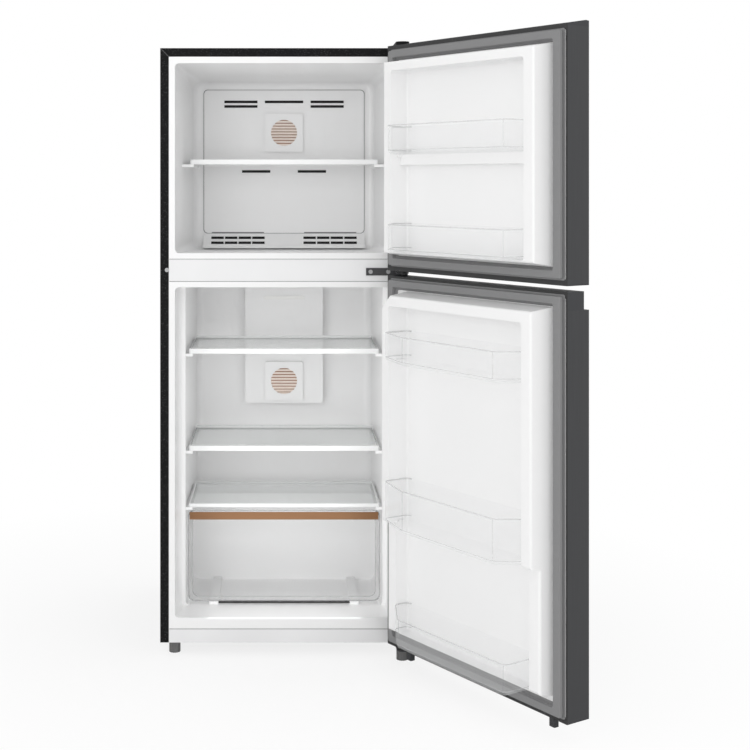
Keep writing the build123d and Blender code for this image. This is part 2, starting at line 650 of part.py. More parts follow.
with BuildPart() as cabinet_foam:
    foam_depth = (LINER, CABINET_DEPTH - SHEET)
    panel(CABINET, inside, foam_depth, (CABINET_BOTTOM + PAN_SHEET, CABINET_TOP - SHEET))
    add(freezer_tub.part, mode=Mode.SUBTRACT)
    add(fridge_tub.part, mode=Mode.SUBTRACT)
    bay_height = (CABINET_BOTTOM, BAY_TOP + PAN_SHEET)
    block(CABINET, inside, (BAY_DEPTH, CABINET_DEPTH), bay_height, mode=Mode.SUBTRACT)
    rail_recess = (LINER, RAIL_RETURN)
    for rail_height in ((CABINET_BOTTOM, BOTTOM_RAIL_TOP), (MULLION_BOTTOM, MULLION_TOP)):
        panel(CABINET, liner_flange, rail_recess, rail_height, mode=Mode.SUBTRACT)
    air_passage()
    left_foot_hole((CABINET_BOTTOM, CABINET_BOTTOM + LEFT_STUD_LENGTH), FOOT_STUD_RADIUS + 1)
save(cabinet_foam, "cabinet_foam")

# ---- Evaporator cover -----------------------------------------------------------------
COVER_DEPTH = (FREEZER_DEPTH - COVER_SHEET, FREEZER_DEPTH)


def cover_slots(row, near, far, slot_height):
    """Slot on each side of the middle, cut right through the evaporator cover."""
    slot_depth = (COVER_DEPTH[0] - RAMP_REACH, COVER_DEPTH[1])
    for side in both_sides(near, far):
        slot_rows = (row - slot_height / 2, row + slot_height / 2)
        panel(CABINET, side, slot_depth, slot_rows, mode=Mode.SUBTRACT)


with BuildPart() as evaporator_cover:
    cover_across = (-COVER_HALF_WIDTH, COVER_HALF_WIDTH)
    panel(CABINET, cover_across, COVER_DEPTH, (COVER_BOTTOM - COVER_RADIUS, COVER_TOP), COVER_RADIUS)
    cover_front = COVER_DEPTH[0]
    ramp_points = (
        (COVER_DEPTH[1], COVER_BOTTOM),
        (cover_front, COVER_BOTTOM),
        (cover_front - RAMP_REACH, RAMP_FOOT),
        (COVER_DEPTH[1], RAMP_FOOT),
    )
    profile(CABINET, cover_across, ramp_points)
    hollow_points = (
        (COVER_DEPTH[1], COVER_BOTTOM - COVER_SHEET),
        (cover_front + COVER_SHEET / 2, COVER_BOTTOM - COVER_SHEET),
        (cover_front - RAMP_REACH + COVER_SHEET, RAMP_FOOT),
        (COVER_DEPTH[1], RAMP_FOOT),
    )
    hollow_across = (-COVER_HALF_WIDTH + COVER_SHEET, COVER_HALF_WIDTH - COVER_SHEET)
    profile(CABINET, hollow_across, hollow_points, Mode.SUBTRACT)
    for slot_row in TOP_SLOT_ROWS:
        cover_slots(slot_row, SIDE_SLOT_NEAR, SIDE_SLOT_FAR, SLOT_HEIGHT)
    cover_slots(TOP_SLOT_ROWS[0], 0, CENTRE_SLOT_HALF_WIDTH, SLOT_HEIGHT)
    cover_slots(LOW_SLOT_ROW, LOW_SLOT_NEAR, LOW_SLOT_FAR, SLOT_HEIGHT)
    slot_pitch = (GRILLE_FAR - GRILLE_NEAR + GRILLE_BAR) / GRILLE_SLOTS
    for grille_row in GRILLE_ROWS:
        for slot in range(GRILLE_SLOTS):
            slot_near = GRILLE_NEAR + slot * slot_pitch
            cover_slots(grille_row, slot_near, slot_near + slot_pitch - GRILLE_BAR, GRILLE_SLOT_HEIGHT)
    add(freezer_hollow.part, mode=Mode.INTERSECT)
save(evaporator_cover, "evaporator_cover")

# ---- Evaporator, heater and fan -----------------------------------------------------------
COIL_DEPTH = (FREEZER_DEPTH + COIL_DEPTH_GAP, FREEZER_DEPTH + COIL_DEPTH_GAP + COIL_THICKNESS)

with BuildPart() as evaporator_coil:
    fin_count = int(2 * COIL_HALF_WIDTH / FIN_PITCH)
    for fin in range(1, fin_count):
        fin_across = -COIL_HALF_WIDTH + fin * FIN_PITCH
        block(CABINET, (fin_across, fin_across + FIN_SHEET), COIL_DEPTH, (COIL_BOTTOM, COIL_TOP))
    for side in both_sides(COIL_HALF_WIDTH, COIL_HALF_WIDTH + COIL_PLATE):
        block(CABINET, side, COIL_DEPTH, (ALCOVE_BOTTOM, COIL_TOP))
    tube_rows = int((COIL_TOP - COIL_BOTTOM) / COIL_TUBE_PITCH)
    tube_reach = COIL_HALF_WIDTH + 3 * COIL_PLATE
    for row in range(tube_rows):
        tube_height = COIL_BOTTOM + (row + 0.5) * COIL_TUBE_PITCH
        for quarter in (0.25, 0.75):
            tube_depth = COIL_DEPTH[0] + quarter * COIL_THICKNESS
            axle(CABINET, (-tube_reach, tube_reach), (tube_depth, tube_height), COIL_TUBE_RADIUS)
save(evaporator_coil, "evaporator_coil")

with BuildPart() as defrost_heater:
    axle(CABINET, (-COIL_HALF_WIDTH, COIL_HALF_WIDTH), (middle(COIL_DEPTH), HEATER_HEIGHT), HEATER_RADIUS)
save(defrost_heater, "defrost_heater")

FAN_CENTRE = (0, FAN_HEIGHT)
MOTOR_FRONT = ALCOVE_BACK - MOTOR_LENGTH
FAN_DEPTH = (MOTOR_FRONT - FAN_AXIAL_GAP - FAN_WIDTH, MOTOR_FRONT - FAN_AXIAL_GAP)

with BuildPart() as fan_motor:
    spindle(CABINET, (MOTOR_FRONT, ALCOVE_BACK), FAN_CENTRE, MOTOR_RADIUS)
    spindle(CABINET, (FAN_DEPTH[0], MOTOR_FRONT), FAN_CENTRE, FAN_SHAFT_RADIUS)
save(fan_motor, "fan_motor")

with BuildPart() as fan_blade:
    spindle(CABINET, FAN_DEPTH, FAN_CENTRE, FAN_HUB_RADIUS)
    blade_span = FAN_RADIUS - FAN_HUB_RADIUS / 2
    blade_plane = front_plane(CABINET, middle(FAN_DEPTH))
    for blade in range(FAN_BLADES):
        blade_turn = Rot(0, 0, blade * 360 / FAN_BLADES)
        blade_place = blade_plane.location * Pos(0, FAN_HEIGHT, 0) * blade_turn
        blade_pitch = Pos(FAN_HUB_RADIUS / 2 + blade_span / 2, 0, 0) * Rot(FAN_BLADE_PITCH, 0, 0)
        add(blade_place * blade_pitch * Box(blade_span, FAN_WIDTH, FAN_BLADE_SHEET, mode=Mode.PRIVATE))
    fan_bore = FAN_SHAFT_RADIUS + RUNNING_CLEARANCE
    spindle(CABINET, FAN_DEPTH, FAN_CENTRE, fan_bore, Mode.SUBTRACT)
save(fan_blade, "fan_blade")

# ---- Fridge air duct, lamp and the two deodorizer filters ------------------------------------
with BuildPart() as duct_cover:
    duct_top = FRIDGE_CEILING
    duct_across = (-DUCT_COVER_HALF_WIDTH, DUCT_COVER_HALF_WIDTH)
    duct_height = (DUCT_COVER_BOTTOM, duct_top + DUCT_COVER_RADIUS)
    panel(CABINET, duct_across, (DUCT_COVER_FRONT, FRIDGE_DEPTH), duct_height, DUCT_COVER_RADIUS)
    hollow_across = (-DUCT_COVER_HALF_WIDTH + COVER_SHEET, DUCT_COVER_HALF_WIDTH - COVER_SHEET)
    hollow_depth = (DUCT_COVER_FRONT + COVER_SHEET, FRIDGE_DEPTH)
    hollow_height = (DUCT_COVER_BOTTOM + COVER_SHEET, duct_top + DUCT_COVER_RADIUS)
    panel(CABINET, hollow_across, hollow_depth, hollow_height, DUCT_COVER_RADIUS - COVER_SHEET, Mode.SUBTRACT)
    above_duct = (duct_top, duct_top + 2 * DUCT_COVER_RADIUS)
    panel(CABINET, duct_across, (DUCT_COVER_FRONT, FRIDGE_DEPTH), above_duct, mode=Mode.SUBTRACT)
    lamp_across = (-LAMP_HALF_WIDTH, LAMP_HALF_WIDTH)
    lamp_height = (LAMP_HEIGHT - LAMP_RISE / 2, LAMP_HEIGHT + LAMP_RISE / 2)
    lamp_depth = (DUCT_COVER_FRONT, DUCT_COVER_FRONT + COVER_SHEET)
    panel(CABINET, lamp_across, lamp_depth, lamp_height, LAMP_RISE / 2 - 0.1, Mode.SUBTRACT)
    add(fridge_hollow.part, mode=Mode.INTERSECT)
save(duct_cover, "duct_cover")

with BuildPart() as lamp_lens:
    panel(CABINET, lamp_across, (lamp_depth[0] - 1, lamp_depth[1]), lamp_height, LAMP_RISE / 2 - 0.1)
save(lamp_lens, "lamp_lens")

FILTER_SEATS = ((COVER_DEPTH[0], FREEZER_FILTER_HEIGHT), (DUCT_COVER_FRONT, FRIDGE_FILTER_HEIGHT))

with BuildPart() as filter_covers:
    for seat, centre_height in FILTER_SEATS:
        cover_height = (centre_height - FILTER_COVER_SIZE / 2, centre_height + FILTER_COVER_SIZE / 2)
        cover_width = (-FILTER_COVER_SIZE / 2, FILTER_COVER_SIZE / 2)
        cover_depth = (seat - FILTER_COVER_THICKNESS, seat)
        panel(CABINET, cover_width, cover_depth, cover_height, FILTER_COVER_CORNER)
        spindle(CABINET, cover_depth, (0, centre_height), FILTER_RADIUS, Mode.SUBTRACT)
save(filter_covers, "filter_covers")

with BuildPart() as deodorizer_filters:
    for seat, centre_height in FILTER_SEATS:
        filter_depth = (seat - FILTER_THICKNESS - FILTER_GROOVE, seat)
        spindle(CABINET, filter_depth, (0, centre_height), FILTER_RADIUS)
        groove_depth = (filter_depth[0], filter_depth[0] + FILTER_GROOVE)
        groove_count = int(2 * FILTER_RADIUS / FILTER_RIB_PITCH) + 1
        for groove in range(groove_count):
            groove_middle = centre_height + (groove - (groove_count - 1) / 2) * FILTER_RIB_PITCH
            groove_rows = (groove_middle - FILTER_GROOVE / 2, groove_middle + FILTER_GROOVE / 2)
            groove_across = (-FILTER_RADIUS, FILTER_RADIUS)
            panel(CABINET, groove_across, groove_depth, groove_rows, mode=Mode.SUBTRACT)
save(deodorizer_filters, "deodorizer_filters")

# ---- Shelves ---------------------------------------------------------------------------
SHELVES = {
    "freezer_shelf": (FREEZER_SHELF_LEVEL, FREEZER_SHELF_FRONT, FREEZER_SHELF_REAR),
    "upper_shelf": (UPPER_SHELF_LEVEL, FRIDGE_SHELF_FRONT, FRIDGE_SHELF_REAR),
    "lower_shelf": (LOWER_SHELF_LEVEL, FRIDGE_SHELF_FRONT, FRIDGE_SHELF_REAR),
}


def shelf_glass(level, front, rear):
    """Glass plate that reaches into the grooves of its front and rear trims."""
    glass_top = level - TRIM_HEIGHT / 2 + GLASS / 2
    plate_depth = (front + TRIM_DEPTH - TRIM_GROOVE, rear - TRIM_DEPTH + TRIM_GROOVE)
    plate_across = (-SHELF_HALF_WIDTH + 1, SHELF_HALF_WIDTH - 1)
    block(CABINET, plate_across, plate_depth, (glass_top - GLASS, glass_top))


def shelf_trim(level, front, rear):
    """Front and rear trims of a shelf, with the groove that holds the glass."""
    shelf_across = (-SHELF_HALF_WIDTH, SHELF_HALF_WIDTH)
    trim_height = (level - TRIM_HEIGHT, level)
    for trim_depth in ((front, front + TRIM_DEPTH), (rear - TRIM_DEPTH, rear)):
        block(CABINET, shelf_across, trim_depth, trim_height, radius=3)
    glass_top = level - TRIM_HEIGHT / 2 + GLASS / 2
    groove_depth = (front + TRIM_DEPTH - TRIM_GROOVE, rear - TRIM_DEPTH + TRIM_GROOVE)
    groove_across = (-SHELF_HALF_WIDTH + 1, SHELF_HALF_WIDTH - 1)
    block(CABINET, groove_across, groove_depth, (glass_top - GLASS, glass_top), mode=Mode.SUBTRACT)


for shelf_name, (shelf_level, shelf_front, shelf_rear) in SHELVES.items():
    with BuildPart() as glass_plate:
        shelf_glass(shelf_level, shelf_front, shelf_rear)
    save(glass_plate, f"{shelf_name}_glass")
    with BuildPart() as trim_pair:
        shelf_trim(shelf_level, shelf_front, shelf_rear)
    save(trim_pair, f"{shelf_name}_trim")

CRISPER_COVER_DEPTH = (CRISPER_COVER_FRONT, CRISPER_COVER_REAR)
CRISPER_RIM = 9.0

with BuildPart() as crisper_cover_frame:
    cover_across = (-SHELF_HALF_WIDTH, SHELF_HALF_WIDTH)
    frame_height = (CRISPER_COVER_LEVEL - CRISPER_FRAME_HEIGHT, CRISPER_COVER_LEVEL)
    block(CABINET, cover_across, CRISPER_COVER_DEPTH, frame_height, radius=4)
    glass_across = (-SHELF_HALF_WIDTH + CRISPER_RIM, SHELF_HALF_WIDTH - CRISPER_RIM)
    glass_depth = (CRISPER_COVER_FRONT + CRISPER_RIM, CRISPER_COVER_REAR - CRISPER_RIM)
    block(CABINET, glass_across, glass_depth, frame_height, mode=Mode.SUBTRACT)
    lip_across = (-SHELF_HALF_WIDTH + CRISPER_RIM / 2, SHELF_HALF_WIDTH - CRISPER_RIM / 2)
    lip_depth = (CRISPER_COVER_FRONT + CRISPER_RIM / 2, CRISPER_COVER_REAR - CRISPER_RIM / 2)
    lip_height = (CRISPER_COVER_LEVEL - GLASS, CRISPER_COVER_LEVEL)
    block(CABINET, lip_across, lip_depth, lip_height, mode=Mode.SUBTRACT)
save(crisper_cover_frame, "crisper_cover_frame")

with BuildPart() as crisper_cover_glass:
    block(CABINET, lip_across, lip_depth, lip_height)
save(crisper_cover_glass, "crisper_cover_glass")

# ---- Crisper drawer -----------------------------------------------------------------------
with BuildPart() as crisper_drawer:
    drawer_across = (-DRAWER_HALF_WIDTH, DRAWER_HALF_WIDTH)
    drawer_height = (DRAWER_BOTTOM, DRAWER_TOP + DRAWER_RADIUS)
    panel(CABINET, drawer_across, (DRAWER_FRONT, DRAWER_REAR), drawer_height, DRAWER_RADIUS)
    inner_across = (-DRAWER_HALF_WIDTH + DRAWER_WALL, DRAWER_HALF_WIDTH - DRAWER_WALL)
    inner_depth = (DRAWER_FRONT + DRAWER_WALL, DRAWER_REAR - DRAWER_WALL)
    inner_height = (DRAWER_BOTTOM + DRAWER_WALL, DRAWER_TOP + DRAWER_RADIUS)
    panel(CABINET, inner_across, inner_depth, inner_height, DRAWER_RADIUS - DRAWER_WALL, Mode.SUBTRACT)
    drawer_above = (DRAWER_TOP, DRAWER_TOP + 2 * DRAWER_RADIUS)
    panel(CABINET, drawer_across, (DRAWER_FRONT, DRAWER_REAR), drawer_above, mode=Mode.SUBTRACT)
    strip_recess = (DRAWER_FRONT, DRAWER_FRONT + STRIP_THICKNESS / 2)
    strip_across = (-STRIP_HALF_WIDTH, STRIP_HALF_WIDTH)
    panel(CABINET, strip_across, strip_recess, (STRIP_BOTTOM, STRIP_TOP), mode=Mode.SUBTRACT)
save(crisper_drawer, "crisper_drawer")

with BuildPart() as crisper_strip:
    strip_depth = (DRAWER_FRONT - STRIP_THICKNESS / 2, DRAWER_FRONT + STRIP_THICKNESS / 2)
    panel(CABINET, strip_across, strip_depth, (STRIP_BOTTOM, STRIP_TOP))
save(crisper_strip, "crisper_strip")

# ---- Doors ---------------------------------------------------------------------------------
DOOR_ACROSS = (-HALF_WIDTH, HALF_WIDTH)
DOOR_DEPTH = (DOOR_FACE, DOOR_BACK)
DOOR_INSIDE = (-HALF_WIDTH + SHEET, HALF_WIDTH - SHEET)
CORE_DEPTH = (DOOR_FACE + SHEET, DOOR_BACK - DOOR_LINER)
PIN_HOLE = PIN_RADIUS + PIN_CLEARANCE
INTO_CABINET = Axis(DOOR.origin, DOOR.y_dir)


def door_skin(bottom, top):
    """Sheet steel face with both edges folded back to the liner."""
    block(DOOR, DOOR_ACROSS, DOOR_DEPTH, (bottom, top))
    block(DOOR, DOOR_INSIDE, (CORE_DEPTH[0], DOOR_BACK), (bottom, top), mode=Mode.SUBTRACT)


def pin_bore(bottom, top):
    """Bore for a hinge pin."""
    post(DOOR, (PIN_ACROSS, PIN_DEPTH), (bottom, top), PIN_HOLE, Mode.SUBTRACT)


def raised_rim(grow, rise, rim_span, chamfered):
    """Tapering block that rises from the door's inner face, grown outwards by the liner."""
    with BuildPart(mode=Mode.PRIVATE) as form:
        with BuildSketch(front_plane(DOOR, CORE_DEPTH[1])) as rim:
            with Locations((0, middle(rim_span))):
                Rectangle(2 * (DYKE_HALF_WIDTH + grow), length(rim_span) + 2 * grow)
            if chamfered:
                hinge_corner = rim.vertices().group_by(Axis.Y)[-1].sort_by(Axis.X)[-1]
                chamfer(hinge_corner, CORNER_CHAMFER)
        extrude(rim.sketch, amount=-rise - grow, taper=DYKE_DRAFT)
        crest = form.faces().sort_by(INTO_CABINET)[-1]
        fillet(crest.edges(), RIM_EDGE_RADIUS + grow)
    add(form.part)


def pocket(grow, rise, pocket_span):
    """Pocket between the raised rims, cut down to the door's inner face."""
    across = (-POCKET_HALF_WIDTH + grow, POCKET_HALF_WIDTH - grow)
    height = (pocket_span[0] + grow, pocket_span[1] - grow)
    depth = (CORE_DEPTH[1] + grow, CORE_DEPTH[1] + rise + 2 * DOOR_LINER)
    with BuildPart(mode=Mode.PRIVATE) as hollow:
        panel(DOOR, across, depth, height, POCKET_RADIUS - grow)
        foot = hollow.faces().sort_by(INTO_CABINET)[0]
        fillet(foot.edges(), POCKET_FOOT_RADIUS - grow)
    add(hollow.part, mode=Mode.SUBTRACT)


def bin_bosses(bin_bottoms):
    """Bosses on the pocket's side walls, one pair under each bin."""
    inner = POCKET_HALF_WIDTH - DOOR_LINER - BOSS_REACH
    for bin_bottom in bin_bottoms:
        boss_top = bin_bottom - SEAT_GAP
        for side in both_sides(inner, POCKET_HALF_WIDTH):
            block(DOOR, side, (BOSS_NEAR - DOOR_GAP, BOSS_FAR - DOOR_GAP), (boss_top - BOSS_HEIGHT, boss_top))


def door_gasket(bottom, top):
    """Magnetic seal ring on the door's inner face, whose hinge side clears the cabinet as it turns."""
    free_side = GASKET_SIDE_MARGIN - HALF_WIDTH
    hinge_side = HALF_WIDTH - GASKET_HINGE_MARGIN
    gasket_depth = (DOOR_BACK, -GASKET_FACE_GAP)
    panel(DOOR, (free_side, hinge_side), gasket_depth, (bottom, top), GASKET_ROUND)
    ring_across = (free_side + GASKET_WIDTH, hinge_side - GASKET_WIDTH)
    ring_height = (bottom + GASKET_WIDTH, top - GASKET_WIDTH)
    panel(DOOR, ring_across, gasket_depth, ring_height, GASKET_ROUND, Mode.SUBTRACT)


def bin_plan(half_width, rear, front, cuts):
    """Corners of a bin seen from above, with the hinge side's and the free side's front cut off."""
    (hinge_across, hinge_depth), (free_across, free_depth) = cuts
    plan = [(-half_width, rear), (half_width, rear), (half_width, front - hinge_depth)]
    if hinge_depth:
        plan.append((half_width - hinge_across, front))
    plan.append((free_across - half_width, front))
    if free_depth:
        plan.append((-half_width, front - free_depth))
    return plan


def bin_body(plan, inset, height):
    """Solid over a plan drawn in by the inset, with rounded upright edges and a rounded foot."""
    with BuildPart(mode=Mode.PRIVATE) as body:
        with BuildSketch(DOOR.offset(height[0])) as outline:
            with BuildLine():
                Polyline(plan, close=True)
            make_face()
            if inset:
                offset(amount=-inset, kind=Kind.INTERSECTION, mode=Mode.REPLACE)
            fillet(outline.vertices(), BIN_RADIUS - inset)
        extrude(outline.sketch, amount=length(height))
        fillet(body.faces().sort_by(Axis.Z)[0].edges(), BIN_FOOT_RADIUS - inset)
    return body.part


def door_bin(bottom, height, cuts):
    """Open clear bin that hangs between the raised rims."""
    half_width = POCKET_HALF_WIDTH - DOOR_LINER - BIN_CLEARANCE
    plan = bin_plan(half_width, DOOR_BACK + BIN_CLEARANCE, DOOR_BACK + BIN_REACH, cuts)
    top = bottom + height
    add(bin_body(plan, 0, (bottom, top)))
    add(bin_body(plan, BIN_WALL, (bottom + BIN_WALL, top + BIN_WALL)), mode=Mode.SUBTRACT)


# Freezer door
FREEZER_SKIN = (FREEZER_DOOR_BOTTOM + CAP_SLAB, FREEZER_DOOR_TOP - CAP_SLAB)
FREEZER_CORE = (FREEZER_SKIN[0] + CAP_PLUG, FREEZER_SKIN[1] - CAP_PLUG)
FREEZER_DYKE = (FREEZER_GASKET_BOTTOM + FREEZER_DYKE_MARGIN, FREEZER_GASKET_TOP - FREEZER_DYKE_MARGIN)
FREEZER_POCKET = (FREEZER_DYKE[0] + FREEZER_POCKET_FLOOR, FREEZER_DYKE[1] - FREEZER_POCKET_MARGIN)
FRIDGE_SKIN = (FRIDGE_DOOR_BOTTOM + CAP_SLAB, FRIDGE_DOOR_TOP - GRIP_HEIGHT)
FRIDGE_CORE = (FRIDGE_SKIN[0] + CAP_PLUG, FRIDGE_SKIN[1] - GRIP_POCKET - SHEET)
FRIDGE_DYKE = (FRIDGE_GASKET_BOTTOM + FRIDGE_DYKE_FOOT, FRIDGE_GASKET_TOP - FRIDGE_DYKE_MARGIN)
FRIDGE_POCKET = (FRIDGE_DYKE[0] + FRIDGE_POCKET_FLOOR, FRIDGE_DYKE[1] - FRIDGE_POCKET_MARGIN)
FRIDGE_PLATE = (FRIDGE_SKIN[0], FRIDGE_DOOR_TOP - CAP_SLAB)
FREEZER_BIN_LOWER = FREEZER_POCKET[0] + DOOR_LINER + SEAT_GAP
FRIDGE_BIN_BOTTOM = FRIDGE_POCKET[0] + DOOR_LINER + SEAT_GAP
BINS = {
    "freezer_bin_upper": (FREEZER_BIN_UPPER, FREEZER_BIN_HEIGHT, FREEZER_BIN_CUTS),
    "freezer_bin_lower": (FREEZER_BIN_LOWER, FREEZER_BIN_HEIGHT, FREEZER_BIN_CUTS),
    "fridge_bin_top": (FRIDGE_BIN_TOP, FRIDGE_BIN_HEIGHT, FRIDGE_BIN_CUTS),
    "fridge_bin_middle": (FRIDGE_BIN_MIDDLE, DEEP_BIN_HEIGHT, FRIDGE_BIN_CUTS),
    "fridge_bin_bottom": (FRIDGE_BIN_BOTTOM, FRIDGE_BIN_HEIGHT, LOW_BIN_CUTS),
}

with BuildPart() as freezer_door_skin:
    door_skin(*FREEZER_SKIN)
save(freezer_door_skin, "freezer_door_skin")

with BuildPart() as freezer_door_caps:
    crest = FREEZER_DOOR_TOP + FREEZER_DOOR_CREST
    top_cap_points = (
        (DOOR_FACE, FREEZER_SKIN[1]),
        (DOOR_BACK, FREEZER_SKIN[1]),
        (DOOR_BACK, FREEZER_DOOR_TOP),
        (DOOR_FACE + FREEZER_DOOR_CREST, crest),
        (DOOR_FACE, crest - 1),
    )
    profile(DOOR, DOOR_ACROSS, top_cap_points)
    block(DOOR, DOOR_INSIDE, CORE_DEPTH, (FREEZER_CORE[1], FREEZER_SKIN[1]))
    notch_across = (PIN_ACROSS - NOTCH_HALF_WIDTH, HALF_WIDTH)
    notch_height = (FREEZER_DOOR_TOP - CAP_SLAB / 2, crest)
    block(DOOR, notch_across, DOOR_DEPTH, notch_height, mode=Mode.SUBTRACT)
    pin_bore(FREEZER_CORE[1], crest)
    block(DOOR, DOOR_ACROSS, DOOR_DEPTH, (FREEZER_DOOR_BOTTOM, FREEZER_SKIN[0]))
    block(DOOR, DOOR_INSIDE, CORE_DEPTH, (FREEZER_SKIN[0], FREEZER_CORE[0]))
    grip_across = (-GRIP_HALF_WIDTH, GRIP_HALF_WIDTH)
    grip_depth = (DOOR_FACE + CAP_SLAB, DOOR_FACE + CAP_SLAB + GRIP_SETBACK)
    grip_height = (FREEZER_DOOR_BOTTOM, FREEZER_CORE[0] - CAP_SLAB)
    block(DOOR, grip_across, grip_depth, grip_height, mode=Mode.SUBTRACT)
    pin_bore(FREEZER_DOOR_BOTTOM, FREEZER_CORE[0])
save(freezer_door_caps, "freezer_door_caps")



def freezer_rim(grow):
    """Raised rim of the freezer door."""
    raised_rim(grow, FREEZER_DYKE_HEIGHT, FREEZER_DYKE, False)
    pocket(grow, FREEZER_DYKE_HEIGHT, FREEZER_POCKET)


def fridge_rim(grow):
    """Raised rim of the fridge door, lower beside the crisper."""
    low_span = (FRIDGE_DYKE[0], FRIDGE_DYKE_STEP + CORNER_CHAMFER)
    raised_rim(grow, FRIDGE_LOW_DYKE_HEIGHT, low_span, False)
    raised_rim(grow, FRIDGE_DYKE_HEIGHT, (FRIDGE_DYKE_STEP, FRIDGE_DYKE[1]), True)
    pocket(grow, FRIDGE_DYKE_HEIGHT, FRIDGE_POCKET)


def door_ledge(bin_bottom, reach):
    """Step across the pocket, just under a bin."""
    across = (-POCKET_HALF_WIDTH, POCKET_HALF_WIDTH)
    top = bin_bottom - SEAT_GAP
    block(DOOR, across, (DOOR_BACK, DOOR_BACK + reach), (top - LEDGE_DROP, top))


with BuildPart() as freezer_rim_core:
    freezer_rim(0)

with BuildPart() as fridge_rim_core:
    fridge_rim(0)

with BuildPart() as freezer_door_foam:
    block(DOOR, DOOR_INSIDE, CORE_DEPTH, FREEZER_CORE)
    add(freezer_rim_core.part)
save(freezer_door_foam, "freezer_door_foam")

with BuildPart() as freezer_door_liner:
    freezer_rim(DOOR_LINER)
    block(DOOR, DOOR_INSIDE, (CORE_DEPTH[1], DOOR_BACK), FREEZER_SKIN)
    bin_bosses((FREEZER_BIN_UPPER,))
    door_ledge(FREEZER_BIN_UPPER, FREEZER_LEDGE_REACH)
    add(freezer_rim_core.part, mode=Mode.SUBTRACT)
save(freezer_door_liner, "freezer_door_liner")

with BuildPart() as freezer_door_gasket:
    door_gasket(FREEZER_GASKET_BOTTOM, FREEZER_GASKET_TOP)
save(freezer_door_gasket, "freezer_door_gasket")

# Fridge door
with BuildPart() as fridge_door_skin:
    door_skin(*FRIDGE_SKIN)
save(fridge_door_skin, "fridge_door_skin")

with BuildPart() as fridge_door_caps:
    setback_depth = (DOOR_FACE + GRIP_SETBACK, DOOR_BACK)
    block(DOOR, DOOR_ACROSS, setback_depth, (FRIDGE_SKIN[1], FRIDGE_DOOR_TOP))
    liner_seat = (FRIDGE_SKIN[1], FRIDGE_PLATE[1])
    block(DOOR, DOOR_INSIDE, (CORE_DEPTH[1], DOOR_BACK), liner_seat, mode=Mode.SUBTRACT)
    block(DOOR, DOOR_INSIDE, CORE_DEPTH, (FRIDGE_CORE[1], FRIDGE_SKIN[1]))
    finger_depth = (CORE_DEPTH[0], DOOR_FACE + GRIP_SETBACK)
    finger_height = (FRIDGE_CORE[1] + SHEET, FRIDGE_SKIN[1])
    block(DOOR, grip_across, finger_depth, finger_height, mode=Mode.SUBTRACT)
    pin_bore(FRIDGE_DOOR_TOP - PIN_REACH, FRIDGE_DOOR_TOP)
    block(DOOR, DOOR_ACROSS, DOOR_DEPTH, (FRIDGE_DOOR_BOTTOM, FRIDGE_SKIN[0]))
    block(DOOR, DOOR_INSIDE, CORE_DEPTH, (FRIDGE_SKIN[0], FRIDGE_CORE[0]))
    for side in both_sides(TAB_NEAR, TAB_FAR):
        tab_height = (FRIDGE_DOOR_BOTTOM - TAB_HEIGHT, FRIDGE_DOOR_BOTTOM)
        block(DOOR, side, (TAB_FRONT, TAB_REAR), tab_height, radius=2)
    pin_bore(FRIDGE_DOOR_BOTTOM, FRIDGE_CORE[0])
save(fridge_door_caps, "fridge_door_caps")

with BuildPart() as fridge_door_foam:
    block(DOOR, DOOR_INSIDE, CORE_DEPTH, FRIDGE_CORE)
    add(fridge_rim_core.part)
save(fridge_door_foam, "fridge_door_foam")

with BuildPart() as fridge_door_liner:
    fridge_rim(DOOR_LINER)
    block(DOOR, DOOR_INSIDE, (CORE_DEPTH[1], DOOR_BACK), FRIDGE_PLATE)
    bin_bosses((FRIDGE_BIN_TOP, FRIDGE_BIN_MIDDLE))
    add(fridge_rim_core.part, mode=Mode.SUBTRACT)
save(fridge_door_liner, "fridge_door_liner")

with BuildPart() as fridge_door_gasket:
    door_gasket(FRIDGE_GASKET_BOTTOM, FRIDGE_GASKET_TOP)
save(fridge_door_gasket, "fridge_door_gasket")

for bin_name, (bin_bottom, bin_height, bin_cuts) in BINS.items():
    with BuildPart() as clear_bin:
        door_bin(bin_bottom, bin_height, bin_cuts)
    save(clear_bin, bin_name)

# ---- Hinges ------------------------------------------------------------------------------
def hinge_plate(bottom):
    """Flat hinge plate over or under the cabinet's corner, rounded about the pin."""
    across = (PIN_ACROSS - HINGE_END_RADIUS, PIN_ACROSS + HINGE_END_RADIUS)
    height = (bottom, bottom + HINGE_SHEET)
    block(CABINET, across, (PIN_DEPTH, HINGE_REAR), height)
    post(CABINET, (PIN_ACROSS, PIN_DEPTH), height, HINGE_END_RADIUS)


def plate_screw_holes(height):
    """Screw holes through a hinge plate."""
    for screw_depth in PLATE_SCREW_DEPTHS:
        post(CABINET, (PIN_ACROSS, screw_depth), height, SCREW_RADIUS, Mode.SUBTRACT)


def pin(bottom, top):
    """Hinge pin."""
    post(CABINET, (PIN_ACROSS, PIN_DEPTH), (bottom, top), PIN_RADIUS)


with BuildPart() as top_hinge:
    hinge_plate(CABINET_TOP)
    plate_screw_holes((CABINET_TOP, CABINET_TOP + HINGE_SHEET))
    pin(FREEZER_CORE[1] + 1, CABINET_TOP)
save(top_hinge, "top_hinge")

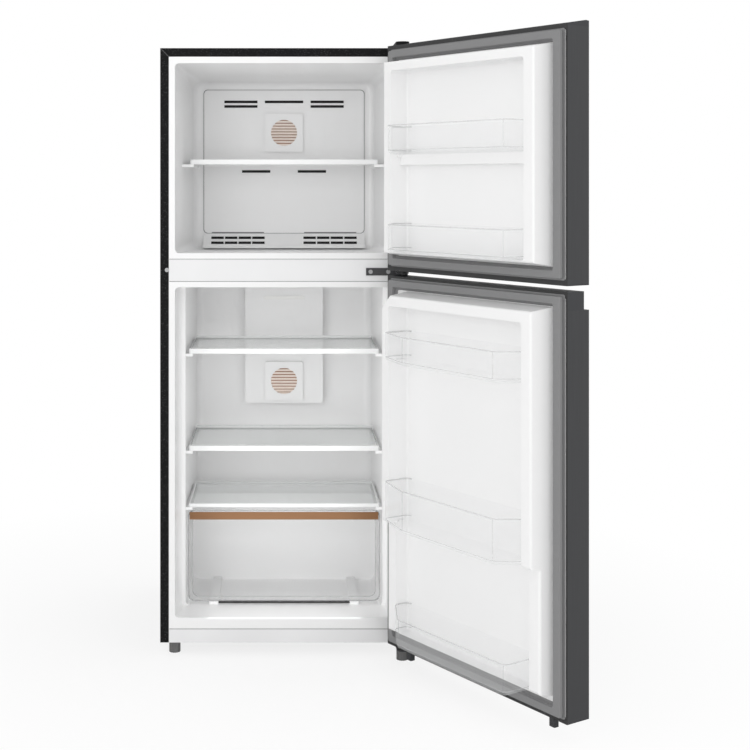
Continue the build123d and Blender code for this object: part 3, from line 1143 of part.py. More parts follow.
with BuildPart() as top_hinge_cover:
    hinge_top = CABINET_TOP + HINGE_SHEET
    cover_height = (hinge_top, hinge_top + HINGE_COVER_HEIGHT)
    cover_side = (PIN_ACROSS - HINGE_END_RADIUS - 1, PIN_ACROSS + HINGE_END_RADIUS + 1)
    block(CABINET, cover_side, (PIN_DEPTH, HINGE_REAR + HINGE_COVER_WALL), cover_height)
    post(CABINET, (PIN_ACROSS, PIN_DEPTH), cover_height, HINGE_END_RADIUS + 1)
    hollow_side = (cover_side[0] + HINGE_COVER_WALL, cover_side[1] - HINGE_COVER_WALL)
    hollow_height = (hinge_top, cover_height[1] - HINGE_COVER_WALL)
    block(CABINET, hollow_side, (PIN_DEPTH, HINGE_REAR), hollow_height, mode=Mode.SUBTRACT)
save(top_hinge_cover, "top_hinge_cover")

with BuildPart() as middle_hinge:
    leaf_across = (MIDDLE_LEAF_INNER, HALF_WIDTH - 1)
    leaf_height = (MIDDLE_LEAF_BOTTOM, MIDDLE_LEAF_TOP)
    panel(CABINET, leaf_across, (-HINGE_SHEET, 0), leaf_height)
    arm_across = (PIN_ACROSS - HINGE_END_RADIUS, PIN_ACROSS + HINGE_END_RADIUS)
    arm_height = (MIDDLE_ARM_HEIGHT, MIDDLE_ARM_HEIGHT + HINGE_SHEET)
    block(CABINET, arm_across, (PIN_DEPTH, -HINGE_SHEET), arm_height)
    post(CABINET, (PIN_ACROSS, PIN_DEPTH), arm_height, HINGE_END_RADIUS)
    collar_height = (arm_height[1], FREEZER_DOOR_BOTTOM - SEAT_GAP)
    post(CABINET, (PIN_ACROSS, PIN_DEPTH), collar_height, COLLAR_RADIUS)
    pin(FRIDGE_DOOR_TOP - PIN_REACH + 1, FREEZER_CORE[0] - 1)
    for screw_across in MIDDLE_SCREWS:
        screw_centre = (screw_across, middle(leaf_height))
        spindle(CABINET, (-HINGE_SHEET, 0), screw_centre, SCREW_RADIUS, Mode.SUBTRACT)
save(middle_hinge, "middle_hinge")

RIGHT_FOOT_CENTRE = (PIN_ACROSS, RIGHT_FOOT_DEPTH)
LEFT_FOOT_CENTRE = (LEFT_FOOT_ACROSS, LEFT_FOOT_DEPTH)
STUD_HOLE = FOOT_STUD_RADIUS + RUNNING_CLEARANCE

with BuildPart() as bottom_hinge:
    plate_bottom = CABINET_BOTTOM - HINGE_SHEET
    hinge_plate(plate_bottom)
    plate_screw_holes((plate_bottom, CABINET_BOTTOM))
    collar_height = (CABINET_BOTTOM, FRIDGE_DOOR_BOTTOM - SEAT_GAP)
    pin(CABINET_BOTTOM, FRIDGE_CORE[0] - 1)
    post(CABINET, (PIN_ACROSS, PIN_DEPTH), collar_height, PIN_RADIUS + 1.5)
    post(CABINET, RIGHT_FOOT_CENTRE, (plate_bottom, CABINET_BOTTOM), STUD_HOLE, Mode.SUBTRACT)
save(bottom_hinge, "bottom_hinge")


def cross_recess(plane):
    """Crossed driver slots in a screw head."""
    with BuildSketch(plane) as cross:
        for turn in (0, 90):
            with Locations(Location((0, 0), turn)):
                Rectangle(SCREW_HEAD_RADIUS, CROSS_SLOT)
    extrude(cross.sketch, amount=-CROSS_SLOT, mode=Mode.SUBTRACT)


def screw(plane, shank):
    """Pan head screw whose head stands on a plane, with its shank below it."""
    with BuildSketch(plane) as head:
        Circle(SCREW_HEAD_RADIUS)
    extrude(head.sketch, amount=SCREW_HEAD_HEIGHT)
    with BuildSketch(plane) as body:
        Circle(SCREW_RADIUS)
    extrude(body.sketch, amount=-shank)
    cross_recess(plane.offset(SCREW_HEAD_HEIGHT))


with BuildPart() as cabinet_screws:
    for screw_across in MIDDLE_SCREWS:
        leaf_face = front_plane(CABINET, -HINGE_SHEET)
        leaf_face.origin += Vector(screw_across, 0, middle(leaf_height))
        screw(leaf_face, HINGE_SHEET + RAIL_SHEET)
    flange_face = front_plane(CABINET, 0)
    flange_face.origin += Vector(FLANGE_SCREW_ACROSS, 0, FLANGE_SCREW_HEIGHT)
    screw(flange_face, SHEET)
    for screw_depth in PLATE_SCREW_DEPTHS:
        top_face = CABINET.offset(CABINET_TOP + HINGE_SHEET)
        top_face.origin += Vector(PIN_ACROSS, screw_depth, 0)
        screw(top_face, HINGE_SHEET)
        under_face = Plane(top_face.origin, x_dir=(1, 0, 0), z_dir=(0, 0, -1))
        under_face.origin += Vector(0, 0, plate_bottom - under_face.origin.Z)
        screw(under_face, HINGE_SHEET)
save(cabinet_screws, "cabinet_screws")

# ---- Feet and rollers ----------------------------------------------------------------------
def levelling_foot(centre, stud_length):
    """Fluted round foot with its threaded stud."""
    post(CABINET, centre, (0, FOOT_HEIGHT), FOOT_RADIUS)
    with BuildSketch(CABINET) as flutes:
        with Locations(centre):
            with PolarLocations(FOOT_RADIUS, FOOT_FLUTES):
                Circle(FLUTE_RADIUS)
    extrude(flutes.sketch, amount=FOOT_HEIGHT, mode=Mode.SUBTRACT)
    post(CABINET, centre, (FOOT_HEIGHT, FOOT_HEIGHT + stud_length), FOOT_STUD_RADIUS)


with BuildPart() as front_foot_left:
    levelling_foot(LEFT_FOOT_CENTRE, LEFT_STUD_LENGTH)
save(front_foot_left, "front_foot_left")

with BuildPart() as front_foot_right:
    levelling_foot(RIGHT_FOOT_CENTRE, RIGHT_STUD_LENGTH)
save(front_foot_right, "front_foot_right")

EAR_NEAR = ROLLER_ACROSS - ROLLER_WIDTH / 2 - EAR_GAP
EAR_FAR = ROLLER_ACROSS + ROLLER_WIDTH / 2 + EAR_GAP
EAR_SPANS = ((EAR_NEAR - EAR_SHEET, EAR_NEAR), (EAR_FAR, EAR_FAR + EAR_SHEET))

with BuildPart() as compressor_tray:
    tray_depth = (BAY_DEPTH + PAN_SHEET, CABINET_DEPTH - SHEET)
    tray_height = (CABINET_BOTTOM, CABINET_BOTTOM + TRAY_SHEET)
    block(CABINET, inside, tray_depth, tray_height)
    ear_depth = (ROLLER_DEPTH - EAR_HALF_LENGTH, ROLLER_DEPTH + EAR_HALF_LENGTH)
    well_half_length = ROLLER_RADIUS + WHEEL_WELL_GAP
    wheel_well = (ROLLER_DEPTH - well_half_length, ROLLER_DEPTH + well_half_length)
    ear_height = (ROLLER_RADIUS - AXLE_RADIUS - EAR_MARGIN, CABINET_BOTTOM)
    for direction in (-1, 1):
        wheel_across = sorted((direction * EAR_NEAR, direction * EAR_FAR))
        block(CABINET, wheel_across, wheel_well, tray_height, mode=Mode.SUBTRACT)
        for ear_span in EAR_SPANS:
            ear_across = sorted((direction * ear_span[0], direction * ear_span[1]))
            block(CABINET, ear_across, ear_depth, ear_height)
        axle_across = sorted((direction * EAR_SPANS[0][0], direction * EAR_SPANS[1][1]))
        axle(CABINET, axle_across, (ROLLER_DEPTH, ROLLER_RADIUS), AXLE_RADIUS)
save(compressor_tray, "compressor_tray")

for roller_name, direction in (("rear_roller_left", -1), ("rear_roller_right", 1)):
    with BuildPart() as roller:
        roller_middle = direction * ROLLER_ACROSS
        roller_span = (roller_middle - ROLLER_WIDTH / 2, roller_middle + ROLLER_WIDTH / 2)
        axle(CABINET, roller_span, (ROLLER_DEPTH, ROLLER_RADIUS), ROLLER_RADIUS)
        roller_bore = AXLE_RADIUS + RUNNING_CLEARANCE
        axle(CABINET, roller_span, (ROLLER_DEPTH, ROLLER_RADIUS), roller_bore, Mode.SUBTRACT)
    save(roller, roller_name)

# ---- Compressor bay ---------------------------------------------------------------------------
TRAY_TOP = CABINET_BOTTOM + TRAY_SHEET
COMPRESSOR_FOOT = TRAY_TOP + GROMMET_HEIGHT
GROMMET_ACROSS = COMPRESSOR_FOOT_HALF_WIDTH - GROMMET_RADIUS
GROMMET_ALONG = COMPRESSOR_FOOT_HALF_DEPTH - GROMMET_RADIUS
GROMMET_CENTRES = [
    (COMPRESSOR_ACROSS + side * GROMMET_ACROSS, COMPRESSOR_DEPTH + end * GROMMET_ALONG)
    for side in (-1, 1)
    for end in (-1, 1)
]


def around(centre, half_length):
    """Span of a half length either side of a centre."""
    return (centre - half_length, centre + half_length)


with BuildPart() as compressor_grommets:
    for grommet_centre in GROMMET_CENTRES:
        post(CABINET, grommet_centre, (TRAY_TOP, COMPRESSOR_FOOT), GROMMET_RADIUS)
save(compressor_grommets, "compressor_grommets")

with BuildPart() as compressor:
    foot_across = around(COMPRESSOR_ACROSS, COMPRESSOR_FOOT_HALF_WIDTH)
    foot_depth = around(COMPRESSOR_DEPTH, COMPRESSOR_FOOT_HALF_DEPTH)
    shell_bottom = COMPRESSOR_FOOT + COMPRESSOR_FOOT_SHEET
    foot_height = (COMPRESSOR_FOOT, shell_bottom)
    block(CABINET, foot_across, foot_depth, foot_height, COMPRESSOR_FOOT_RADIUS)
    shell_top = shell_bottom + COMPRESSOR_HEIGHT
    shell_centre = (COMPRESSOR_ACROSS, COMPRESSOR_DEPTH)
    post(CABINET, shell_centre, (shell_bottom, shell_top), COMPRESSOR_RADIUS)
    crown = compressor.edges().filter_by(GeomType.CIRCLE).sort_by(Axis.Z)[-1]
    fillet(crown, COMPRESSOR_CROWN)
    shell_side = COMPRESSOR_ACROSS + COMPRESSOR_RADIUS
    terminal_across = (shell_side - TERMINAL_OVERLAP, shell_side + TERMINAL_REACH)
    terminal_bottom = shell_bottom + TERMINAL_RISE
    terminal_height = (terminal_bottom, terminal_bottom + TERMINAL_HEIGHT)
    block(CABINET, terminal_across, around(COMPRESSOR_DEPTH, TERMINAL_HALF_DEPTH), terminal_height)
save(compressor, "compressor")

with BuildPart() as relay_box:
    relay_across = (terminal_across[1], terminal_across[1] + RELAY_LENGTH)
    relay_depth = around(COMPRESSOR_DEPTH, TERMINAL_HALF_DEPTH + RELAY_MARGIN)
    relay_height = (terminal_height[0] - RELAY_MARGIN, terminal_height[1] + RELAY_MARGIN)
    block(CABINET, relay_across, relay_depth, relay_height, RELAY_RADIUS)
save(relay_box, "relay_box")

with BuildPart() as drip_tray:
    drip_across = (DRIP_TRAY_NEAR, DRIP_TRAY_FAR)
    drip_depth = (DRIP_TRAY_FRONT, DRIP_TRAY_REAR)
    drip_height = (TRAY_TOP, TRAY_TOP + DRIP_TRAY_HEIGHT)
    block(CABINET, drip_across, drip_depth, drip_height, DRIP_TRAY_RADIUS)
    inner_across = (drip_across[0] + DRIP_TRAY_WALL, drip_across[1] - DRIP_TRAY_WALL)
    inner_depth = (drip_depth[0] + DRIP_TRAY_WALL, drip_depth[1] - DRIP_TRAY_WALL)
    inner_height = (drip_height[0] + DRIP_TRAY_WALL, drip_height[1])
    inner_radius = DRIP_TRAY_RADIUS - DRIP_TRAY_WALL
    block(CABINET, inner_across, inner_depth, inner_height, inner_radius, Mode.SUBTRACT)
save(drip_tray, "drip_tray")

with BuildPart() as refrigerant_tubes:
    tube_wall = BAY_DEPTH + PAN_SHEET
    tube_reach = (COMPRESSOR_RADIUS**2 - TUBE_HALF_SPACING**2) ** 0.5
    tube_start = COMPRESSOR_DEPTH - tube_reach - TUBE_END_GAP
    tube_elbow = COMPRESSOR_DEPTH - tube_reach - TUBE_STUB
    for direction, rise, drop in zip((-1, 1), TUBE_RISES, TUBE_DROPS):
        tube_across = COMPRESSOR_ACROSS + direction * TUBE_HALF_SPACING
        low = shell_bottom + rise
        high = BAY_TOP - drop
        corners = [(tube_start, low), (tube_elbow, low), (tube_elbow, high), (tube_wall, high)]
        route = [CABINET.from_local_coords(Vector(tube_across, *corner)) for corner in corners]
        with BuildLine() as tube_path:
            FilletPolyline(*route, radius=TUBE_BEND_RADIUS)
        with BuildSketch(Plane(tube_path.line @ 0, z_dir=tube_path.line % 0)) as tube_section:
            Circle(TUBE_RADIUS)
        sweep(tube_section.sketch, path=tube_path.line)
save(refrigerant_tubes, "refrigerant_tubes")

with BuildPart() as compressor_cover:
    rear_cover_height = (TRAY_TOP, BAY_TOP)
    rear_cover_depth = (CABINET_DEPTH - SHEET, CABINET_DEPTH)
    panel(CABINET, inside, rear_cover_depth, rear_cover_height)
    slot_count = int((length(rear_cover_height) - 2 * COVER_SLOT_MARGIN) / COVER_SLOT_PITCH)
    for slot in range(slot_count):
        slot_bottom = TRAY_TOP + COVER_SLOT_MARGIN + slot * COVER_SLOT_PITCH
        slot_height = (slot_bottom, slot_bottom + COVER_SLOT_HEIGHT)
        for slot_span in COVER_SLOT_SPANS:
            panel(CABINET, slot_span, rear_cover_depth, slot_height, COVER_SLOT_ROUND, Mode.SUBTRACT)
save(compressor_cover, "compressor_cover")

with BuildPart() as power_inlet:
    inlet_depth = (CABINET_DEPTH, CABINET_DEPTH + INLET_PLATE)
    inlet_across = around(INLET_ACROSS, INLET_HALF_WIDTH)
    inlet_height = around(INLET_RISE, INLET_HALF_HEIGHT)
    panel(CABINET, inlet_across, inlet_depth, inlet_height, INLET_CORNER)
    collar_depth = (inlet_depth[1], inlet_depth[1] + INLET_COLLAR)
    bore_depth = (inlet_depth[0], collar_depth[1])
    inlet_centre = (INLET_ACROSS, INLET_RISE)
    spindle(CABINET, collar_depth, inlet_centre, INLET_COLLAR_RADIUS)
    spindle(CABINET, bore_depth, inlet_centre, INLET_BORE_RADIUS, Mode.SUBTRACT)
save(power_inlet, "power_inlet")
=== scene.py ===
"""Finishes, small pieces and stage of a refrigerator with its freezer on top."""

import math

import bpy
import numpy as np
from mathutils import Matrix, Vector


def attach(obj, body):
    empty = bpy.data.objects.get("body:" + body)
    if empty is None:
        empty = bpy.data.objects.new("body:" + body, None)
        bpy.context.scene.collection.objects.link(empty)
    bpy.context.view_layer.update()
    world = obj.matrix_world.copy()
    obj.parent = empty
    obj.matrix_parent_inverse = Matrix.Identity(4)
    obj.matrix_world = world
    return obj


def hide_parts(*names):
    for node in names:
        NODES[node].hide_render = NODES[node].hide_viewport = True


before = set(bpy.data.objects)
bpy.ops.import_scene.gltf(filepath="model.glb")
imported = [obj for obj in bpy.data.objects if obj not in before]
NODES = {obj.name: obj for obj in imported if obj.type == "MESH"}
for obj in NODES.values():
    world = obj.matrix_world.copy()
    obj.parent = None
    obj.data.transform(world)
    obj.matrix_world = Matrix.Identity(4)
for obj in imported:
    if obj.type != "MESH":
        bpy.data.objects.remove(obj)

bl_info = {
    "name": "Refrigerator looks",
    "version": (1, 0, 0),
    "blender": (4, 5, 0),
    "location": "View3D > Sidebar > Refrigerator",
    "description": "Finishes the refrigerator's pieces and sets its stage",
    "category": "Object",
}

# Sizes in metres. Depths run back from the cabinet's front plane, as in its solids.
FRONT_PLANE = -0.265
PIN_ACROSS = 0.2585
PIN_DEPTH = -0.040
DOOR_ANGLE = math.radians(123.0)
DOOR_BACK = -0.012
DOOR_HALF_WIDTH = 0.2735
SEAL_FREE_MARGIN = 0.0055
SEAL_EXTRA_WIDTH = 0.0040
CHANNEL_WIDTH = 0.0125
CHANNEL_FREE_WIDTH = 0.0034
SEAL_HINGE_MARGIN = 0.011
BIN_RADIUS = 0.016
BIN_FOOT_RADIUS = 0.0075
BIN_SKIN_CORNER = BIN_RADIUS - 0.009
BIN_BEAD_CORNER = BIN_RADIUS - 0.003
# Each bead's radius, and how far its centre stands in from the bin's wall.
BIN_RIM_BEAD = (0.0012, 0.0013)
BIN_FOOT_BEAD = (0.0007, 0.0008)
BIN_FOOT_LINE = 0.0078
# A bin's corner hairlines: distance in from the corner, half width, depths behind the front
# wall's face, and distance under the rim.
BIN_LINE_INSET = 0.0036
BIN_LINE_HALF_WIDTH = 0.0004
BIN_LINE_DEPTHS = (0.0014, 0.0006)
BIN_LINE_DROP = 0.0024
# Corners of each bin seen from above, in a door drawn shut, then its lowest and highest edge.
FREEZER_BIN = (
    (-0.2041, -0.0116),
    (0.2041, -0.0116),
    (0.2041, 0.030),
    (0.1521, 0.082),
    (-0.2041, 0.082),
)
FRIDGE_BIN = (
    (-0.2041, -0.0116),
    (0.2041, -0.0116),
    (0.2041, 0.051),
    (0.1081, 0.082),
    (-0.1741, 0.082),
    (-0.2041, 0.036),
)
LOW_BIN = (
    (-0.2041, -0.0116),
    (0.2041, -0.0116),
    (0.2041, 0.023),
    (0.1201, 0.082),
    (-0.2041, 0.082),
)
BINS = {
    "freezer_bin_upper": (FREEZER_BIN, 1.103, 1.163),
    "freezer_bin_lower": (FREEZER_BIN, 0.8973, 0.9573),
    "fridge_bin_top": (FRIDGE_BIN, 0.668, 0.728),
    "fridge_bin_middle": (FRIDGE_BIN, 0.326, 0.414),
    "fridge_bin_bottom": (LOW_BIN, 0.0883, 0.1483),
}
DRAWER_HALF_WIDTH = 0.219
DRAWER_HEIGHT = (0.0885, 0.297)
DRAWER_DEPTH = (0.0981, 0.2959)
DRAWER_RADIUS = 0.016
DRAWER_FRONT = 0.0985
DRAWER_FRONT_RADIUS = 0.014
# Each line on the drawer's front: its name, inset and radius.
DRAWER_LINES = (("crisper_front_line", 0.0015, 0.0013), ("crisper_inner_line", 0.0110, 0.0006))
# Painted shade: spans across, in depth and in height of a dark bar in the gap under the crisper
# drawer's front.
DRAWER_GAP_SHADE = ((-0.1497, 0.1497), (0.106, 0.109), (0.0821, 0.0882))
# Gap that keeps the thin skins of the bins and the drawer inside their solids.
SKIN_GAP = 0.0001
GLASS_SIDE = (0.2145, 0.2160)
COVER_FACE = 0.3975
COVER_HALF_WIDTH = 0.2
COVER_TOP = 1.273
COVER_RADIUS = 0.010
SEAM_DEPTH = 0.3974
COVER_FOOT = 0.916
RAMP_REACH = 0.027
RAMP_FALL = 0.033
SLOT_GAP = 0.0003
# Depths behind the cover's face of the dark bars painted as shade inside its slots.
SLOT_SHADE_DEPTHS = (0.0006, 0.0016)
UPPER_SLOT_HEIGHT = 0.0068
GRILLE_SPAN = (0.048, 0.181)
GRILLE_ROWS = (0.905, 0.893)
GRILLE_SLOTS = 4
GRILLE_SLOT_HEIGHT = 0.0064
GRILLE_LAND = 0.0026
MITRE_CORNER = (0.2640, 1.3305)
MITRE_REACH = 0.0090
MITRE_HALF_WIDTH = 0.0003
MITRE_DEPTH = -0.00012
# Middle height, height and power of the flat lamp in the mouth of each compartment.
COMPARTMENT_LAMPS = (("freezer", 1.10, 0.40, 0.12), ("fridge", 0.44, 0.72, 0.44))
LAMP_WIDTH = 0.34
LAMP_DEPTH = -0.001
PEEL_DEPTH = 0.00003


# ---- Shader maths ---------------------------------------------------------------------------
class Value:
    """A shader socket whose arithmetic adds Math nodes to its material."""

    def __init__(self, finish, socket):
        self.finish = finish
        self.socket = socket

    def maths(self, operation, *values):
        settings = {"operation": operation}
        return self.finish.node("ShaderNodeMath", settings, dict(enumerate(values)))

    def __add__(self, other):
        return self.maths("ADD", self, other)

    def __radd__(self, other):
        return self.maths("ADD", other, self)

    def __sub__(self, other):
        return self.maths("SUBTRACT", self, other)

    def __rsub__(self, other):
        return self.maths("SUBTRACT", other, self)

    def __mul__(self, other):
        return self.maths("MULTIPLY", self, other)

    def __rmul__(self, other):
        return self.maths("MULTIPLY", other, self)

    def __truediv__(self, other):
        return self.maths("DIVIDE", self, other)

    def __pow__(self, other):
        return self.maths("POWER", self, other)

    def __abs__(self):
        return self.maths("ABSOLUTE", self)

    def below(self, edge):
        """One where the value is under the edge, otherwise nought."""
        return self.maths("LESS_THAN", self, edge)

    def wave(self):
        """Sine of the value."""
        return self.maths("SINE", self)

    def ramp(self, low, high, from_low=0.0, from_high=1.0):
        """The value, carried in a straight line from one range to another and clamped."""
        inputs = {"Value": self, "From Min": from_low, "From Max": from_high}
        inputs.update({"To Min": low, "To Max": high})
        return self.finish.node("ShaderNodeMapRange", {"clamp": True}, inputs)


class Finish:
    """One material, made of nodes that are added by their type."""

    def __init__(self, name):
        self.material = bpy.data.materials.new(name)
        self.material.use_nodes = True
        self.tree = self.material.node_tree
        self.tree.nodes.clear()

    def node(self, kind, settings=None, inputs=None, output=0):
        """Adds a node, sets it, then gives its sockets numbers, colours or links."""
        made = self.tree.nodes.new(kind)
        for key, setting in (settings or {}).items():
            if key == "stops":
                self.stops(made.color_ramp, setting)
            else:
                setattr(made, key, setting)
        for key, given in (inputs or {}).items():
            if isinstance(given, Value):
                self.tree.links.new(given.socket, made.inputs[key])
            else:
                made.inputs[key].default_value = given
        return Value(self, made.outputs[output]) if made.outputs else made

    @staticmethod
    def stops(ramp, stops):
        while len(ramp.elements) < len(stops):
            ramp.elements.new(1.0)
        for element, (place, colour) in zip(ramp.elements, stops):
            element.position = place
            element.color = (*colour, 1.0)

    def place(self):
        """Object coordinates, which follow a piece wherever it moves."""
        return self.node("ShaderNodeTexCoord", output=3)

    def axes(self):
        """Object coordinates as three separate values."""
        split = self.tree.nodes.new("ShaderNodeSeparateXYZ")
        self.tree.links.new(self.place().socket, split.inputs[0])
        return [Value(self, socket) for socket in split.outputs]

    def stretched(self, scale):
        """Object coordinates, scaled by a different number along each axis."""
        return self.node("ShaderNodeMapping", None, {"Vector": self.place(), "Scale": scale})

    def noise(self, scale, detail=3.0, place=None):
        """Noise between nought and one, with a scale in grains per metre."""
        inputs = {"Vector": place or self.place(), "Scale": scale, "Detail": detail}
        return self.node("ShaderNodeTexNoise", None, inputs)

    def tint(self, factor, first, second):
        """A colour that runs from the first to the second as the factor rises."""
        settings = {"data_type": "RGBA", "clamp_factor": True}
        inputs = {0: factor, 6: (*first, 1.0), 7: (*second, 1.0)}
        return self.node("ShaderNodeMix", settings, inputs, 2)

    def bump(self, height, depth):
        """A normal from a height between nought and one, which stands for a depth in metres."""
        inputs = {"Height": height, "Distance": depth, "Strength": 1.0}
        return self.node("ShaderNodeBump", None, inputs)

    def body(self, colour, **sockets):
        """The main shader, with a fixed or varying colour."""
        names = {key.replace("_", " ").title(): given for key, given in sockets.items()}
        for plain, real in (("Ior", "IOR"), ("Specular Ior Level", "Specular IOR Level")):
            if plain in names:
                names[real] = names.pop(plain)
        names["Base Color"] = colour if isinstance(colour, Value) else (*colour, 1.0)
        return self.node("ShaderNodeBsdfPrincipled", None, names)

    def close(self, shader):
        """Ends the material with its shader."""
        self.node("ShaderNodeOutputMaterial", None, {"Surface": shader})
        return self.material


def darker(colour, share):
    """A colour times one number."""
    return tuple(channel * share for channel in colour)


# ---- Finishes -------------------------------------------------------------------------------
def painted_sheet(name, colour, roughness, grain=900.0, depth=0.00004, specular=0.5):
    """Powder paint: fine grain in the height, and slow changes of gloss."""
    finish = Finish(name)
    fine = finish.noise(grain, 2.0)
    slow = finish.noise(6.0, 2.0)
    tint = finish.tint(slow, darker(colour, 0.92), darker(colour, 1.06))
    gloss = slow.ramp(roughness - 0.05, roughness + 0.05)
    normal = finish.bump(fine, depth)
    shader = finish.body(tint, roughness=gloss, normal=normal, specular_ior_level=specular)
    return finish.close(shader)


def speckled_sheet(name, colour, speck, roughness):
    """Textured paint: pale specks where fine noise is highest, with that noise as its height."""
    finish = Finish(name)
    fine = finish.noise(420.0, 1.0)
    tint = finish.tint(fine.ramp(0.0, 1.0, 0.60, 0.74), colour, speck)
    normal = finish.bump(fine, 0.0003)
    shader = finish.body(tint, roughness=roughness, normal=normal, specular_ior_level=0.12)
    return finish.close(shader)


def ribbed_plastic(name, colour):
    """Grip ribs 2.4 millimetres apart: a bump, with painted shade in the grooves and a painted
    highlight on the crests.
    """
    finish = Finish(name)
    across, _, _ = finish.axes()
    groove = (across * 2600.0).wave().ramp(0.0, 1.0, -1.0, 1.0)
    # Painted shade in the grooves and a painted highlight on the crests, following the ribs'
    # height.
    tint = finish.tint(groove, darker(colour, 0.45), darker(colour, 1.3))
    shader = finish.body(tint, roughness=0.5, normal=finish.bump(groove, 0.0006))
    return finish.close(shader)


def brushed_sheet(name, colour, roughness, scale=(900.0, 900.0, 12.0), metallic=0.6):
    """Brushed metal: noise drawn out along one axis moves its colour and gloss."""
    finish = Finish(name)
    lines = finish.noise(1.0, 3.0, finish.stretched(scale))
    tint = finish.tint(lines, darker(colour, 0.85), darker(colour, 1.15))
    gloss = lines.ramp(roughness - 0.07, roughness + 0.07)
    normal = finish.bump(lines, 0.00002)
    shader = finish.body(tint, roughness=gloss, metallic=metallic, normal=normal)
    return finish.close(shader)


def moulded_plastic(name, colour, roughness, grain=350.0, coat=0.0, specular=0.5):
    """Moulded plastic: a soft orange peel, and a slow drift of its shade."""
    finish = Finish(name)
    peel = finish.noise(grain, 1.0)
    slow = finish.noise(3.0, 2.0)
    tint = finish.tint(slow, darker(colour, 0.985), darker(colour, 1.01))
    gloss = peel.ramp(roughness - 0.03, roughness + 0.03)
    sockets = {"roughness": gloss, "normal": finish.bump(peel, PEEL_DEPTH)}
    shader = finish.body(tint, **sockets, coat_weight=coat, specular_ior_level=specular)
    return finish.close(shader)


def clear_sheet(name, colour, least, most, roughness):
    """Clear plastic or glass: faint face on, denser where it is seen edge on."""
    finish = Finish(name)
    facing = finish.node("ShaderNodeLayerWeight", None, {"Blend": 0.35}, 1)
    haze = finish.noise(40.0, 2.0)
    cover = (facing**1.6).ramp(least, most)
    gloss = haze.ramp(roughness * 0.8, roughness * 1.2)
    shader = finish.body(colour, roughness=gloss, alpha=cover, ior=1.49)
    return finish.close(shader)


def shelf_glass_finish(colour):
    """Shelf glass: clear on its face, and dark green along its cut sides."""
    finish = Finish("shelf_glass")
    across, _, _ = finish.axes()
    side = abs(across).ramp(0.0, 1.0, *GLASS_SIDE)
    facing = finish.node("ShaderNodeLayerWeight", None, {"Blend": 0.35}, 1)
    cover = (facing**1.6).ramp(0.07, 0.6)
    tint = finish.tint(side, colour, (0.10, 0.13, 0.125))
    cover = cover + side * 0.7
    haze = finish.noise(40.0, 2.0)
    shader = finish.body(tint, roughness=haze.ramp(0.03, 0.06), alpha=cover, ior=1.5)
    return finish.close(shader)


def filter_finish(pad, slat):
    """Filter pad: thin dark slats across it, one pitch apart, with a woven grain."""
    finish = Finish("filter_pad")
    _, _, height = finish.axes()
    pitch = 0.0072
    stripe = (height * (2 * math.pi / pitch)).wave()
    line = stripe.ramp(0.0, 1.0, 0.55, 0.75)
    tint = finish.tint(line, pad, slat)
    weave = finish.noise(1200.0, 2.0)
    shader = finish.body(tint, roughness=0.8, normal=finish.bump(weave, 0.0001))
    return finish.close(shader)


def zinc_sheet(name, colour):
    """Galvanised steel: spangles of slightly different greys."""
    finish = Finish(name)
    cells = finish.node("ShaderNodeTexVoronoi", None, {"Vector": finish.place(), "Scale": 90.0}, 1)
    grey = finish.node("ShaderNodeRGBToBW", None, {0: cells})
    tint = finish.tint(grey, darker(colour, 0.82), colour)
    shader = finish.body(tint, roughness=grey.ramp(0.3, 0.5), metallic=0.85)
    return finish.close(shader)


def foam_finish(name, colour):
    """Foam: round cells in the height and the colour."""
    finish = Finish(name)
    cells = finish.node("ShaderNodeTexVoronoi", None, {"Vector": finish.place(), "Scale": 260.0})
    tint = finish.tint(cells, darker(colour, 0.8), colour)
    shader = finish.body(tint, roughness=0.9, normal=finish.bump(cells, 0.0006))
    return finish.close(shader)


# ---- Surfaces -------------------------------------------------------------------------------
def in_cabinet(across, depth, height):
    """Points in the cabinet, from their distance across, depth and height."""
    return np.stack(np.broadcast_arrays(across, FRONT_PLANE + depth, height), -1)


def in_door(across, depth, height):
    """Points in a door drawn shut, turned about the hinge pins to where it stands open."""
    beside, behind = across - PIN_ACROSS, depth - PIN_DEPTH
    cosine, sine = math.cos(DOOR_ANGLE), math.sin(DOOR_ANGLE)
    turned_across = PIN_ACROSS + beside * cosine - behind * sine
    turned_depth = PIN_DEPTH + beside * sine + behind * cosine
    return in_cabinet(turned_across, turned_depth, height)


def rounded_outline(sides, inset, radius, steps=6):
    """Closed outline of a convex shape, given by the angle each side faces and its distance.

    Every side is moved in by the radius and the inset, which may hold one value for each side.
    Where two moved sides meet is the centre of the arc between them, and each arc turns from
    one side's angle to the next's."""
    facing, distance = np.array(sides, float).T
    turn = (np.roll(facing, -1) - facing) % (2 * np.pi)
    inset = np.asarray(inset, float)
    near = distance - radius - (inset if inset.ndim == 2 else inset[..., None])
    far = np.roll(near, -1, axis=-1)
    first = (near * np.sin(facing + turn) - far * np.sin(facing)) / np.sin(turn)
    second = (far * np.cos(facing) - near * np.cos(facing + turn)) / np.sin(turn)
    angles = facing[:, None] + turn[:, None] * np.linspace(0.0, 1.0, steps)
    first = first[..., None] + radius * np.cos(angles)
    second = second[..., None] + radius * np.sin(angles)
    whole = first.shape[:-2] + (-1,)
    return first.reshape(whole), second.reshape(whole)


def plan_sides(corners):
    """Outward angle and distance of each side of a convex plan, its corners anticlockwise."""
    corners = np.array(corners)
    along = np.roll(corners, -1, axis=0) - corners
    facing = np.arctan2(-along[:, 0], along[:, 1])
    distance = corners[:, 0] * np.cos(facing) + corners[:, 1] * np.sin(facing)
    return np.stack([facing, distance], -1)


def box_sides(first, second):
    """Sides of a rectangle between two spans, anticlockwise from the first span's high side."""
    distances = (first[1], second[1], -first[0], -second[0])
    return [(side * np.pi / 2, distance) for side, distance in enumerate(distances)]


